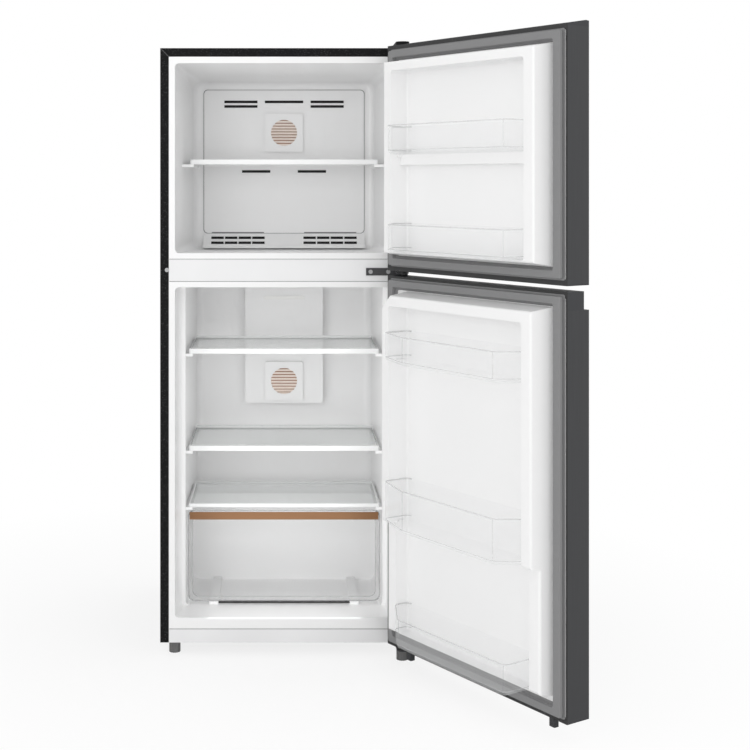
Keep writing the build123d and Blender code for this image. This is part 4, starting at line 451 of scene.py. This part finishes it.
def grid_mesh(name, grid, wrapped=(True, True), capped=(), smooth=True):
    """A surface over a grid of points, joined end to end along each wrapped direction.

    The rows named in capped are filled with one face each."""
    rows, columns = grid.shape[:2]
    steps = rows - (not wrapped[0]), columns - (not wrapped[1])
    row, column = np.meshgrid(np.arange(steps[0]), np.arange(steps[1]), indexing="ij")
    next_row, next_column = (row + 1) % rows, (column + 1) % columns
    corners = [(row, column), (row, next_column), (next_row, next_column), (next_row, column)]
    faces = np.stack([r * columns + c for r, c in corners], -1).reshape(-1, 4).tolist()
    faces += [(cap * columns + np.arange(columns)).tolist() for cap in capped]
    return mesh_object(name, grid.reshape(-1, 3), faces, smooth)


def mesh_object(name, points, faces, smooth=True):
    """A new object at the origin, with its place in its mesh."""
    mesh = bpy.data.meshes.new(name)
    mesh.from_pydata(points.tolist(), [], faces)
    mesh.polygons.foreach_set("use_smooth", [smooth] * len(faces))
    mesh.validate()
    made = bpy.data.objects.new(name, mesh)
    bpy.context.scene.collection.objects.link(made)
    return made


CORNERS = np.indices((2, 2, 2)).reshape(3, 8)
QUADS = np.array(
    [(0, 1, 3, 2), (4, 6, 7, 5), (0, 4, 5, 1), (2, 3, 7, 6), (0, 2, 6, 4), (1, 5, 7, 3)]
)


def bars(name, spans, place=in_cabinet):
    """Straight bars in one mesh: each corner takes one end of its bar's three spans."""
    spans = np.array(spans, float)
    ends = [spans[:, axis][:, CORNERS[axis]].ravel() for axis in range(3)]
    faces = (QUADS[None] + 8 * np.arange(len(spans))[:, None, None]).reshape(-1, 4)
    return mesh_object(name, place(*ends), faces.tolist(), smooth=False)


def both_sides(near, far):
    """A span on the right of the middle, and its mirror on the left."""
    return ((near, far), (-far, -near))


def bead_ring(radius, sides=10):
    """Inset and rise of the points round a bead."""
    angles = np.linspace(0.0, 2 * np.pi, sides, endpoint=False)
    return radius * np.cos(angles), radius * np.sin(angles)


# ---- Pieces ---------------------------------------------------------------------------------
def finished(piece, body, material):
    """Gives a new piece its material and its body."""
    piece.data.materials.append(material)
    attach(piece, body)
    return piece


def dress(nodes, material):
    """Gives CAD nodes one material each in place of what they came with."""
    for name in nodes:
        node = NODES[name]
        node.data.materials.clear()
        node.data.materials.append(material)


# ---- Settings -------------------------------------------------------------------------------
def colour_setting(name, description, default):
    return bpy.props.FloatVectorProperty(
        name=name, description=description, default=default, subtype="COLOR", min=0.0, max=1.0
    )


def share_setting(name, description, default):
    return bpy.props.FloatProperty(
        name=name, description=description, default=default, subtype="FACTOR", min=0.0, max=1.0
    )


class CabinetSettings(bpy.types.PropertyGroup):
    """Colours of the cabinet and its doors."""

    shell: colour_setting("Cabinet", "Paint of the cabinet's sheet", (0.006, 0.006, 0.0065))
    speck: colour_setting("Specks", "Pale specks in the cabinet's paint", (0.05, 0.05, 0.052))
    door: colour_setting("Doors", "Dark metal of the doors", (0.062, 0.063, 0.066))
    cap: colour_setting("Door caps", "Plastic caps of the doors", (0.045, 0.046, 0.05))
    rail: colour_setting(
        "Rails", "Enamel of the rails between the compartments", (0.88, 0.88, 0.885)
    )
    gasket: colour_setting("Gaskets", "Rubber seals of the doors", (0.235, 0.235, 0.238))
    hinge: colour_setting("Hinges", "Painted steel of the hinges", (0.035, 0.035, 0.038))


class InteriorSettings(bpy.types.PropertyGroup):
    """Colours of what is inside the compartments."""

    liner: colour_setting("Liners", "White plastic of the liners", (0.94, 0.94, 0.94))
    cover: colour_setting("Covers", "White plastic covers at the back", (0.91, 0.91, 0.91))
    trim: colour_setting("Shelf trims", "Plastic trims of the shelves", (0.86, 0.865, 0.865))
    glass: colour_setting("Glass", "Glass of the shelves", (0.90, 0.93, 0.925))
    clear: colour_setting("Clear plastic", "Bins and crisper drawer", (0.93, 0.94, 0.945))
    strip: colour_setting("Crisper strip", "Coppery strip of the crisper", (0.247, 0.120, 0.050))
    pad: colour_setting("Filter pads", "Pads behind the filter covers", (0.93, 0.83, 0.76))
    slat: colour_setting("Filter slats", "Thin lines across the filter pads", (0.30, 0.14, 0.07))


class StageSettings(bpy.types.PropertyGroup):
    """Floor, lamps and camera."""

    floor: colour_setting("Floor", "Colour of the floor", (0.92, 0.92, 0.92))
    ambient: bpy.props.FloatProperty(
        name="Ambient light",
        description="Strength of the light from all round",
        default=0.88,
        min=0.0,
    )
    lens: bpy.props.FloatProperty(
        name="Lens", description="Focal length on a 36 mm sensor", default=67.1, unit="CAMERA"
    )
    eye: bpy.props.FloatVectorProperty(
        name="Camera place",
        description="Where the camera stands",
        default=(0.0, -3.353, 1.0487),
        subtype="TRANSLATION",
        unit="LENGTH",
    )


# ---- Operators ------------------------------------------------------------------------------
class Piece:
    """What every operator here shares."""

    bl_options = {"REGISTER", "UNDO"}

    def execute(self, context):
        self.make(context.scene)
        return {"FINISHED"}


class FRIDGE_OT_cabinet(Piece, bpy.types.Operator):
    """Finish the cabinet's sheet, rails, base and foam."""

    bl_idname = "fridge.cabinet"
    bl_label = "Cabinet"

    def make(self, scene):
        look = scene.fridge_cabinet
        dress(["outer_shell"], speckled_sheet("cabinet_paint", look.shell, look.speck, 0.6))
        # Painted highlight: pale lines along the mitres of the flanges.
        highlight = painted_sheet("mitre_highlight", (0.13, 0.13, 0.132), 0.5)
        finished(flange_mitres(), "cabinet", highlight)
        dress(["mullion_rail", "bottom_rail"], painted_sheet("rail_enamel", look.rail, 0.3, 300.0))
        sheets = ["rear_panel", "base_pan", "compressor_cover", "compressor_tray"]
        dress(sheets, zinc_sheet("galvanised_sheet", (0.62, 0.63, 0.64)))
        foams = ["cabinet_foam", "freezer_door_foam", "fridge_door_foam"]
        dress(foams, foam_finish("yellow_foam", (0.78, 0.62, 0.32)))


# Section of a door seal: distance in from its outer edge, height above the door's back, and
# the share of the free side's extra width.
SEAL_SECTION = (
    (0.0000, 0.0000, 0.0),
    (0.0000, 0.0015, 0.0),
    (0.0030, 0.0018, 0.0),
    (0.0052, 0.0022, 0.0),
    (0.0052, 0.0042, 0.0),
    (0.0028, 0.0052, 0.0),
    (0.0034, 0.0105, 0.0),
    (0.0043, 0.0117, 0.0),
    (0.0172, 0.0117, 1.0),
    (0.0184, 0.0104, 1.0),
    (0.0178, 0.0080, 1.0),
    (0.0196, 0.0062, 1.0),
    (0.0188, 0.0036, 1.0),
    (0.0226, 0.0022, 1.0),
    (0.0240, 0.0010, 1.0),
    (0.0240, 0.0000, 1.0),
)


# Each door's body, its lowest and highest edge, and its seal's.
DOORS = (
    ("freezer_door", (0.852, 1.340), (0.862, 1.331)),
    ("fridge_door", (0.040, 0.841), (0.0475, 0.836)),
)


def door_seal(name, tall):
    """A seal: each point of its section makes one rounded rectangle, and neighbouring
    rectangles are joined, so the section runs all the way round the door.

    Down the free side each inset grows by its point's share of the extra width."""
    inset, rise, share = np.array(SEAL_SECTION).T
    wide = (SEAL_FREE_MARGIN - DOOR_HALF_WIDTH, DOOR_HALF_WIDTH - SEAL_HINGE_MARGIN)
    free_side = np.array([0.0, 0.0, SEAL_EXTRA_WIDTH, 0.0])
    inset = inset[:, None] + share[:, None] * free_side
    across, height = rounded_outline(box_sides(wide, tall), inset, 0.004)
    return grid_mesh(name, in_door(across, DOOR_BACK + rise[:, None], height), smooth=False)


def door_channel_shade(name, tall):
    """Painted shade: a flat dark ring under the seal, where the groove at the seal's foot lies in
    shade. One low rectangle of its section is carried round the door.

    It is narrow down the free side, where the door's white back shows between it and the seal."""
    widths = np.array([CHANNEL_WIDTH, CHANNEL_WIDTH, CHANNEL_FREE_WIDTH, CHANNEL_WIDTH])
    inset = np.array([0.0, 0.0, 1.0, 1.0])[:, None] * widths
    rise = np.array([-0.0003, 0.0012, 0.0012, -0.0003])
    wide = (-DOOR_HALF_WIDTH, DOOR_HALF_WIDTH)
    across, height = rounded_outline(box_sides(wide, tall), inset, 0.0005, 2)
    return grid_mesh(name, in_door(across, DOOR_BACK + rise[:, None], height), smooth=False)


class FRIDGE_OT_seals(Piece, bpy.types.Operator):
    """Run the ribbed rubber seals round the doors."""

    bl_idname = "fridge.seals"
    bl_label = "Door seals"

    def make(self, scene):
        rubber = moulded_plastic("seal_rubber", scene.fridge_cabinet.gasket, 0.6, 700.0)
        # The channels' near black is painted shade in the groove at the foot of each seal.
        black = moulded_plastic("channel_shade", (0.02, 0.02, 0.021), 0.5)
        for door, edges, tall in DOORS:
            seal = finished(door_seal(f"{door}_seal", tall), door, rubber)
            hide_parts(f"{door}_gasket")
            finished(door_channel_shade(f"{door}_channel", edges), door, black)


class FRIDGE_OT_doors(Piece, bpy.types.Operator):
    """Finish the doors' metal and caps."""

    bl_idname = "fridge.doors"
    bl_label = "Doors"

    def make(self, scene):
        look = scene.fridge_cabinet
        metal = brushed_sheet("door_metal", look.door, 0.38)
        dress(["freezer_door_skin", "fridge_door_skin"], metal)
        caps = ["freezer_door_caps", "fridge_door_caps"]
        dress(caps, moulded_plastic("cap_plastic", look.cap, 0.45, specular=0.3))


def seam_shade_line(name, wide, tall, depth, radius):
    """A flat line 1.2 millimetres wide round a panel, half a millimetre proud of its depth, as
    painted shade in the groove round the panel.
    """
    inset = np.array([-0.0006, -0.0006, 0.0006, 0.0006])
    lift = np.array([0.0004, -0.0005, -0.0005, 0.0004])
    across, height = rounded_outline(box_sides(wide, tall), inset, radius)
    return grid_mesh(name, in_cabinet(across, depth + lift[:, None], height), smooth=False)


def vent_slot_shades():
    """Painted shade: a dark bar just inside each slot of the evaporator cover, where the slot lies
    in shade.

    The upper slots' bars stand just behind the cover's face. Under its foot the face
    comes forward in a straight ramp, and each bar there stands behind its slot's top."""
    outer, lower = both_sides(0.066, 0.149), both_sides(0.034, 0.105)
    rows = ((1.2435, (*outer, (-0.048, 0.048))), (1.2320, outer), (1.0700, lower))
    upright = [(row, UPPER_SLOT_HEIGHT, side) for row, sides in rows for side in sides]
    near, far = GRILLE_SPAN
    pitch = (far - near + GRILLE_LAND) / GRILLE_SLOTS
    starts = [near + slot * pitch for slot in range(GRILLE_SLOTS)]
    slots = [side for start in starts for side in both_sides(start, start + pitch - GRILLE_LAND)]
    sloping = [(row, GRILLE_SLOT_HEIGHT, side) for row in GRILLE_ROWS for side in slots]
    spans = []
    for row, tall, (left, right) in upright + sloping:
        top = row + tall / 2 - SLOT_GAP
        face = COVER_FACE - RAMP_REACH * max(0.0, COVER_FOOT - top) / RAMP_FALL
        depth = tuple(face + back for back in SLOT_SHADE_DEPTHS)
        across = (left + SLOT_GAP, right - SLOT_GAP)
        spans.append((across, depth, (row - tall / 2 + SLOT_GAP, top)))
    return bars("vent_slot_shades", spans)


def cover_foot_slot_shades():
    """Painted shade of a row of small slots: grey strips along the top of the cover's ramp, one
    above each group of slots.
    """
    depth, height = (COVER_FACE - 0.0006, COVER_FACE + 0.0002), (0.9166, 0.9190)
    spans = [(side, depth, height) for side in both_sides(0.050, 0.180)]
    return bars("cover_foot_slot_shades", spans)


def flange_mitres():
    """Painted highlights on the seams where the sheet's front flanges meet: one pale sloping strip
    at each upper corner.
    """
    step = np.array([[MITRE_REACH], [-MITRE_REACH]])
    beside = np.array([-MITRE_HALF_WIDTH, MITRE_HALF_WIDTH])
    across, height = MITRE_CORNER[0] + step + beside, MITRE_CORNER[1] + step - beside
    grids = [in_cabinet(side * across, MITRE_DEPTH, height) for side in (-1.0, 1.0)]
    points = np.concatenate([grid.reshape(-1, 3) for grid in grids])
    return mesh_object("flange_mitres", points, [(0, 1, 3, 2), (4, 5, 7, 6)], smooth=False)


def rail_seam_shades():
    """Painted shade: dark hairlines in the gaps where the rails meet the liners' flanges."""
    edges = (-0.2535, 0.2535)
    heights = ((0.87345, 0.87445), (0.82420, 0.82520), (0.05650, 0.05760))
    return bars("rail_seam_shades", [(edges, (-0.0002, 0.0006), height) for height in heights])


class FRIDGE_OT_liners(Piece, bpy.types.Operator):
    """Finish the liners of the compartments and the doors, and the covers at the back."""

    bl_idname = "fridge.liners"
    bl_label = "Liners"

    def make(self, scene):
        look = scene.fridge_interior
        liners = ["freezer_liner", "fridge_liner", "freezer_door_liner", "fridge_door_liner"]
        dress(liners, moulded_plastic("liner_plastic", look.liner, 0.34, coat=0.15))
        covers = ["evaporator_cover", "duct_cover", "filter_covers"]
        dress(covers, moulded_plastic("cover_plastic", look.cover, 0.42))
        dress(["deodorizer_filters"], filter_finish(look.pad, look.slat))
        # Painted shade: the grey of the line round the evaporator cover stands for shade in the
        # groove round the panel, and the grey of the rows along its foot for shade in a row of
        # small slots.
        seam = moulded_plastic("cover_seam_shade", (0.22, 0.22, 0.225), 0.6)
        wide, tall = (-COVER_HALF_WIDTH, COVER_HALF_WIDTH), (COVER_FOOT, COVER_TOP)
        outline = seam_shade_line("evaporator_cover_seam", wide, tall, SEAM_DEPTH, COVER_RADIUS)
        finished(outline, "cabinet", seam)
        finished(cover_foot_slot_shades(), "cabinet", seam)
        # Painted shade in the gaps where the rails meet the liners.
        hairline = moulded_plastic("seam_shadow", (0.10, 0.10, 0.10), 0.7)
        finished(rail_seam_shades(), "cabinet", hairline)
        # Painted shade: near-black bars inside the cover's slots.
        slot_shade = moulded_plastic("slot_shade_mesh", (0.012, 0.012, 0.012), 0.8)
        finished(vent_slot_shades(), "cabinet", slot_shade)
        dress(["lamp_lens"], moulded_plastic("lamp_lens", (0.9, 0.9, 0.88), 0.25))


def drawer_front_line(name, inset, radius):
    """A round bead on the drawer's front: a circle carried round a rounded rectangle."""
    beside, rise = bead_ring(radius)
    sides = box_sides((-DRAWER_HALF_WIDTH, DRAWER_HALF_WIDTH), DRAWER_HEIGHT)
    across, height = rounded_outline(sides, inset + beside, DRAWER_FRONT_RADIUS)
    return grid_mesh(name, in_cabinet(across, DRAWER_FRONT + radius + rise[:, None], height))


def drawer_shell(name):
    """The drawer as one thin skin: an open trough run from front to back, with both ends filled.

    The trough's section goes down one side, round a quarter circle at each lower corner and up."""
    turn = np.linspace(0.0, np.pi / 2, 7)
    reach = DRAWER_HALF_WIDTH - SKIN_GAP - DRAWER_RADIUS
    low = DRAWER_HEIGHT[0] + SKIN_GAP + DRAWER_RADIUS
    half_across = np.concatenate([reach + DRAWER_RADIUS * np.sin(turn), [reach + DRAWER_RADIUS]])
    half_height = np.concatenate([low - DRAWER_RADIUS * np.cos(turn), [DRAWER_HEIGHT[1]]])
    across = np.concatenate([-half_across[::-1], half_across])
    height = np.concatenate([half_height[::-1], half_height])
    depth = np.array(DRAWER_DEPTH)[:, None]
    grid = in_cabinet(across, depth, height)
    return grid_mesh(name, grid, wrapped=(False, False), capped=(0, 1))


class FRIDGE_OT_shelves(Piece, bpy.types.Operator):
    """Finish the glass shelves, their trims and the crisper."""

    bl_idname = "fridge.shelves"
    bl_label = "Shelves and crisper"

    def make(self, scene):
        look = scene.fridge_interior
        shelves = ["freezer_shelf", "upper_shelf", "lower_shelf"]
        glass = shelf_glass_finish(look.glass)
        dress([f"{shelf}_glass" for shelf in shelves] + ["crisper_cover_glass"], glass)
        trims = [f"{shelf}_trim" for shelf in shelves] + ["crisper_cover_frame"]
        dress(trims, moulded_plastic("trim_plastic", look.trim, 0.25))
        clear = clear_sheet("clear_drawer", look.clear, 0.05, 0.30, 0.06)
        shell = finished(drawer_shell("crisper_skin"), "crisper", clear)
        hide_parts("crisper_drawer")
        edge = clear_sheet("drawer_edge", (0.5, 0.505, 0.51), 0.35, 0.7, 0.1)
        for name, inset, radius in DRAWER_LINES:
            finished(drawer_front_line(name, inset, radius), "crisper", edge)
        # Painted shade: a dark bar in the gap under the drawer's front, where shade falls.
        shadow = moulded_plastic("gap_shade", (0.05, 0.05, 0.05), 0.8)
        shade = bars("crisper_gap_shade", [DRAWER_GAP_SHADE])
        finished(shade, "cabinet", shadow)
        strip_scale = (12.0, 900.0, 900.0)
        dress(["crisper_strip"], brushed_sheet("coppery_strip", look.strip, 0.4, strip_scale, 0.3))


def bin_rim(name, plan, height, radius, inset):
    """A round bead along a bin's wall: a circle carried round the wall's outline.

    The outline starts and ends at the rear wall, the plan's first side, which has no bead."""
    beside, rise = bead_ring(radius)
    across, depth = rounded_outline(plan_sides(plan), inset + beside, BIN_BEAD_CORNER)
    return grid_mesh(name, in_door(across, depth, height + rise[:, None]), wrapped=(True, False))


def bin_shell(name, plan, bottom, top):
    """A bin as one thin skin: its outline goes straight down, then a quarter circle in.

    One outline is drawn for each point of that section. The last one is filled as the floor."""
    turn = np.linspace(0.0, np.pi / 2, 6)
    inset = np.concatenate([[0.0], BIN_FOOT_RADIUS * (1.0 - np.cos(turn))]) + SKIN_GAP
    height = np.concatenate([[top], bottom + BIN_FOOT_RADIUS * (1.0 - np.sin(turn)) + SKIN_GAP])
    across, depth = rounded_outline(plan_sides(plan), inset, BIN_SKIN_CORNER)
    grid = in_door(across, depth, height[:, None])
    return grid_mesh(name, grid, wrapped=(False, True), capped=(len(inset) - 1,))


def bin_corner_lines(name, plan, low, high):
    """Upright hairlines where a bin's front wall turns: one bar inside each foremost corner."""
    front = max(depth for _, depth in plan)
    corners = [across for across, depth in plan if depth == front]
    middle = sum(corners) / len(corners)
    depths = tuple(front - behind for behind in BIN_LINE_DEPTHS)
    spans = []
    for corner in corners:
        inside = corner + math.copysign(BIN_LINE_INSET, middle - corner)
        across = (inside - BIN_LINE_HALF_WIDTH, inside + BIN_LINE_HALF_WIDTH)
        spans.append((across, depths, (low, high)))
    return bars(name, spans, in_door)


class FRIDGE_OT_bins(Piece, bpy.types.Operator):
    """Finish the clear bins of the doors and lay the beads along their rims."""

    bl_idname = "fridge.bins"
    bl_label = "Door bins"

    def make(self, scene):
        look = scene.fridge_interior
        clear = clear_sheet("clear_bin", look.clear, 0.05, 0.32, 0.06)
        edge = clear_sheet("bin_edge", (0.66, 0.665, 0.67), 0.25, 0.65, 0.1)
        for name, (plan, bottom, top) in BINS.items():
            body, foot = f"{name}_body", bottom + BIN_FOOT_LINE
            shell = bin_shell(f"{name}_skin", plan, bottom, top)
            shell = finished(shell, body, clear)
            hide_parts(name)
            lines = (
                bin_rim(f"{name}_rim", plan, top - BIN_RIM_BEAD[0], *BIN_RIM_BEAD),
                bin_rim(f"{name}_foot_line", plan, foot, *BIN_FOOT_BEAD),
                bin_corner_lines(f"{name}_corner_lines", plan, foot, top - BIN_LINE_DROP),
            )
            for line in lines:
                finished(line, body, edge)


class FRIDGE_OT_hardware(Piece, bpy.types.Operator):
    """Finish the hinges, screws, feet, rollers and the compressor bay."""

    bl_idname = "fridge.hardware"
    bl_label = "Hardware"

    def make(self, scene):
        look = scene.fridge_cabinet
        hinges = ["top_hinge", "middle_hinge", "bottom_hinge"]
        dress(hinges, painted_sheet("hinge_paint", look.hinge, 0.4, 700.0))
        black = moulded_plastic("black_plastic", (0.018, 0.018, 0.019), 0.5)
        dress(["relay_box", "drip_tray", "power_inlet"], black)
        dull = moulded_plastic("cover_plastic_black", (0.012, 0.012, 0.013), 0.6, specular=0.1)
        dress(["top_hinge_cover"], dull)
        zinc = brushed_sheet("screw_zinc", (0.36, 0.36, 0.365), 0.4, metallic=0.7)
        dress(["cabinet_screws"], zinc)
        grey = ribbed_plastic("grey_nylon", (0.22, 0.22, 0.22))
        feet = ["front_foot_left", "front_foot_right", "rear_roller_left", "rear_roller_right"]
        dress(feet, grey)
        enamel = painted_sheet("compressor_enamel", (0.012, 0.012, 0.012), 0.22, 60.0, 0.0001)
        dress(["compressor"], enamel)
        dress(["compressor_grommets"], moulded_plastic("soft_rubber", (0.02, 0.02, 0.02), 0.8))
        copper = brushed_sheet("copper_tube", (0.72, 0.36, 0.24), 0.28, metallic=1.0)
        dress(["refrigerant_tubes"], copper)
        fins = brushed_sheet("aluminium_fins", (0.72, 0.73, 0.74), 0.35, metallic=0.95)
        dress(["evaporator_coil"], fins)
        dress(["defrost_heater"], moulded_plastic("heater_glass", (0.8, 0.8, 0.78), 0.15))
        dress(["fan_motor"], zinc_sheet("motor_steel", (0.55, 0.55, 0.56)))
        dress(["fan_blade"], moulded_plastic("fan_plastic", (0.82, 0.82, 0.81), 0.4))


class FRIDGE_OT_stage(Piece, bpy.types.Operator):
    """Lay the floor, hang the lamps and stand the camera."""

    bl_idname = "fridge.stage"
    bl_label = "Stage"

    def make(self, scene):
        look = scene.fridge_stage
        floor_sheet(look.floor)
        white_world(scene, look.ambient)
        soft_lamp("lamp_front", (-0.9, -4.4, 1.3), (0.0, 0.0, 0.60), (1.8, 1.8), 24.0)
        for name, height, tall, power in COMPARTMENT_LAMPS:
            place, aim = in_cabinet(0.0, LAMP_DEPTH, height), in_cabinet(0.0, 0.2, height)
            soft_lamp(f"lamp_{name}", place, aim, (LAMP_WIDTH, tall), power)
        level_camera(scene, look)


def floor_sheet(colour):
    """A round floor whose rim turns to plain white for the camera."""
    radii = np.array([0.0, 1.0, 3.0, 9.0, 30.0])
    turns = np.linspace(0.0, 2.0 * np.pi, 65)[:-1]
    ring_x = radii[1:, None] * np.cos(turns)
    ring_y = radii[1:, None] * np.sin(turns)
    rings = np.stack([ring_x, ring_y, np.zeros_like(ring_x)], -1).reshape(-1, 3)
    points = np.vstack([np.zeros((1, 3)), rings])
    count = len(turns)
    here = np.arange(count)
    ahead = (here + 1) % count
    faces = np.stack([np.zeros(count, int), here + 1, ahead + 1], -1).tolist()
    for ring in range(len(radii) - 2):
        low, high = 1 + ring * count, 1 + (ring + 1) * count
        faces += np.stack([low + here, high + here, high + ahead, low + ahead], -1).tolist()
    floor = mesh_object("floor", points, faces, smooth=False)
    finish = Finish("floor_paint")
    across, along, _ = finish.axes()
    distance = (across * across + along * along) ** 0.5
    camera_ray = finish.node("ShaderNodeLightPath")
    grain = finish.noise(300.0, 2.0)
    matt = finish.body(finish.tint(grain, darker(colour, 0.99), colour), roughness=0.75)
    glow = finish.node("ShaderNodeEmission", None, {"Color": (1, 1, 1, 1), "Strength": 1.0})
    share = distance.ramp(0.8, 1.0, 0.4, 1.3) * camera_ray
    mixed = finish.node("ShaderNodeMixShader", None, {0: share, 1: matt, 2: glow})
    floor.data.materials.append(finish.close(mixed))


def either(tree, first, second):
    """The larger of two light path outputs in a node tree."""
    larger = tree.nodes.new("ShaderNodeMath")
    larger.operation = "MAXIMUM"
    tree.links.new(first, larger.inputs[0])
    tree.links.new(second, larger.inputs[1])
    return larger.outputs[0]


def white_world(scene, strength):
    """Even light from all round, and plain white wherever the camera or a reflection sees it."""
    world = bpy.data.worlds.new("even_light")
    world.use_nodes = True
    scene.world = world
    tree = world.node_tree
    tree.nodes.clear()
    rays = tree.nodes.new("ShaderNodeLightPath")
    lit, plain = (tree.nodes.new("ShaderNodeBackground") for _ in range(2))
    for background in (lit, plain):
        background.inputs["Color"].default_value = (1.0, 1.0, 1.0, 1.0)
    lit.inputs["Strength"].default_value = strength
    seen = either(tree, rays.outputs["Is Camera Ray"], rays.outputs["Is Transmission Ray"])
    mirrored = either(tree, seen, rays.outputs["Is Glossy Ray"])
    mixed = tree.nodes.new("ShaderNodeMixShader")
    tree.links.new(mirrored, mixed.inputs[0])
    tree.links.new(lit.outputs[0], mixed.inputs[1])
    tree.links.new(plain.outputs[0], mixed.inputs[2])
    output = tree.nodes.new("ShaderNodeOutputWorld")
    tree.links.new(mixed.outputs[0], output.inputs["Surface"])


def soft_lamp(name, place, aim, size, power):
    """A flat lamp that faces a point, and that the camera doesn't see."""
    lamp = bpy.data.lights.new(name, "AREA")
    lamp.shape = "RECTANGLE"
    lamp.size, lamp.size_y = size
    lamp.energy = power
    holder = bpy.data.objects.new(name, lamp)
    bpy.context.scene.collection.objects.link(holder)
    holder.visible_camera = False
    holder.location = place
    towards = Vector(aim) - Vector(place)
    holder.rotation_euler = towards.to_track_quat("-Z", "Y").to_euler()


def level_camera(scene, look):
    """A level camera before the cabinet's middle. Its shift frames the cabinet and its doors."""
    camera = bpy.data.cameras.new("camera")
    camera.lens = look.lens
    camera.sensor_width = 36.0
    camera.shift_x = 0.1213
    camera.shift_y = -0.26
    camera.clip_start = 0.05
    camera.clip_end = 200.0
    holder = bpy.data.objects.new("camera", camera)
    scene.collection.objects.link(holder)
    holder.location = look.eye
    holder.rotation_euler = (math.pi / 2, 0.0, 0.0)
    scene.camera = holder
    bpy.context.scene.camera = holder
    scene.view_settings.view_transform = "Standard"


class FRIDGE_PT_sidebar(bpy.types.Panel):
    """Lists the pieces and their settings."""

    bl_idname = "FRIDGE_PT_sidebar"
    bl_label = "Refrigerator"
    bl_space_type = "VIEW_3D"
    bl_region_type = "UI"
    bl_category = "Refrigerator"

    def draw(self, context):
        for settings in SETTINGS:
            group = getattr(context.scene, settings)
            box = self.layout.box()
            for name in group.__annotations__:
                box.prop(group, name)
        for operator in OPERATORS:
            self.layout.operator(operator.bl_idname)


SETTINGS = {
    "fridge_cabinet": CabinetSettings,
    "fridge_interior": InteriorSettings,
    "fridge_stage": StageSettings,
}
OPERATORS = (
    FRIDGE_OT_stage,
    FRIDGE_OT_cabinet,
    FRIDGE_OT_doors,
    FRIDGE_OT_seals,
    FRIDGE_OT_liners,
    FRIDGE_OT_shelves,
    FRIDGE_OT_bins,
    FRIDGE_OT_hardware,
)


def register():
    for settings in SETTINGS.values():
        bpy.utils.register_class(settings)
    for operator in OPERATORS:
        bpy.utils.register_class(operator)
    bpy.utils.register_class(FRIDGE_PT_sidebar)
    for name, settings in SETTINGS.items():
        setattr(bpy.types.Scene, name, bpy.props.PointerProperty(type=settings))


def unregister():
    for name in SETTINGS:
        delattr(bpy.types.Scene, name)
    bpy.utils.unregister_class(FRIDGE_PT_sidebar)
    for operator in reversed(OPERATORS):
        bpy.utils.unregister_class(operator)
    for settings in SETTINGS.values():
        bpy.utils.unregister_class(settings)


def main():
    """Makes every piece."""
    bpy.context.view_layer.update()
    register()
    bpy.ops.fridge.stage()
    bpy.ops.fridge.cabinet()
    bpy.ops.fridge.doors()
    bpy.ops.fridge.seals()
    bpy.ops.fridge.liners()
    bpy.ops.fridge.shelves()
    bpy.ops.fridge.bins()
    bpy.ops.fridge.hardware()


if __name__ == "__main__":
    main()
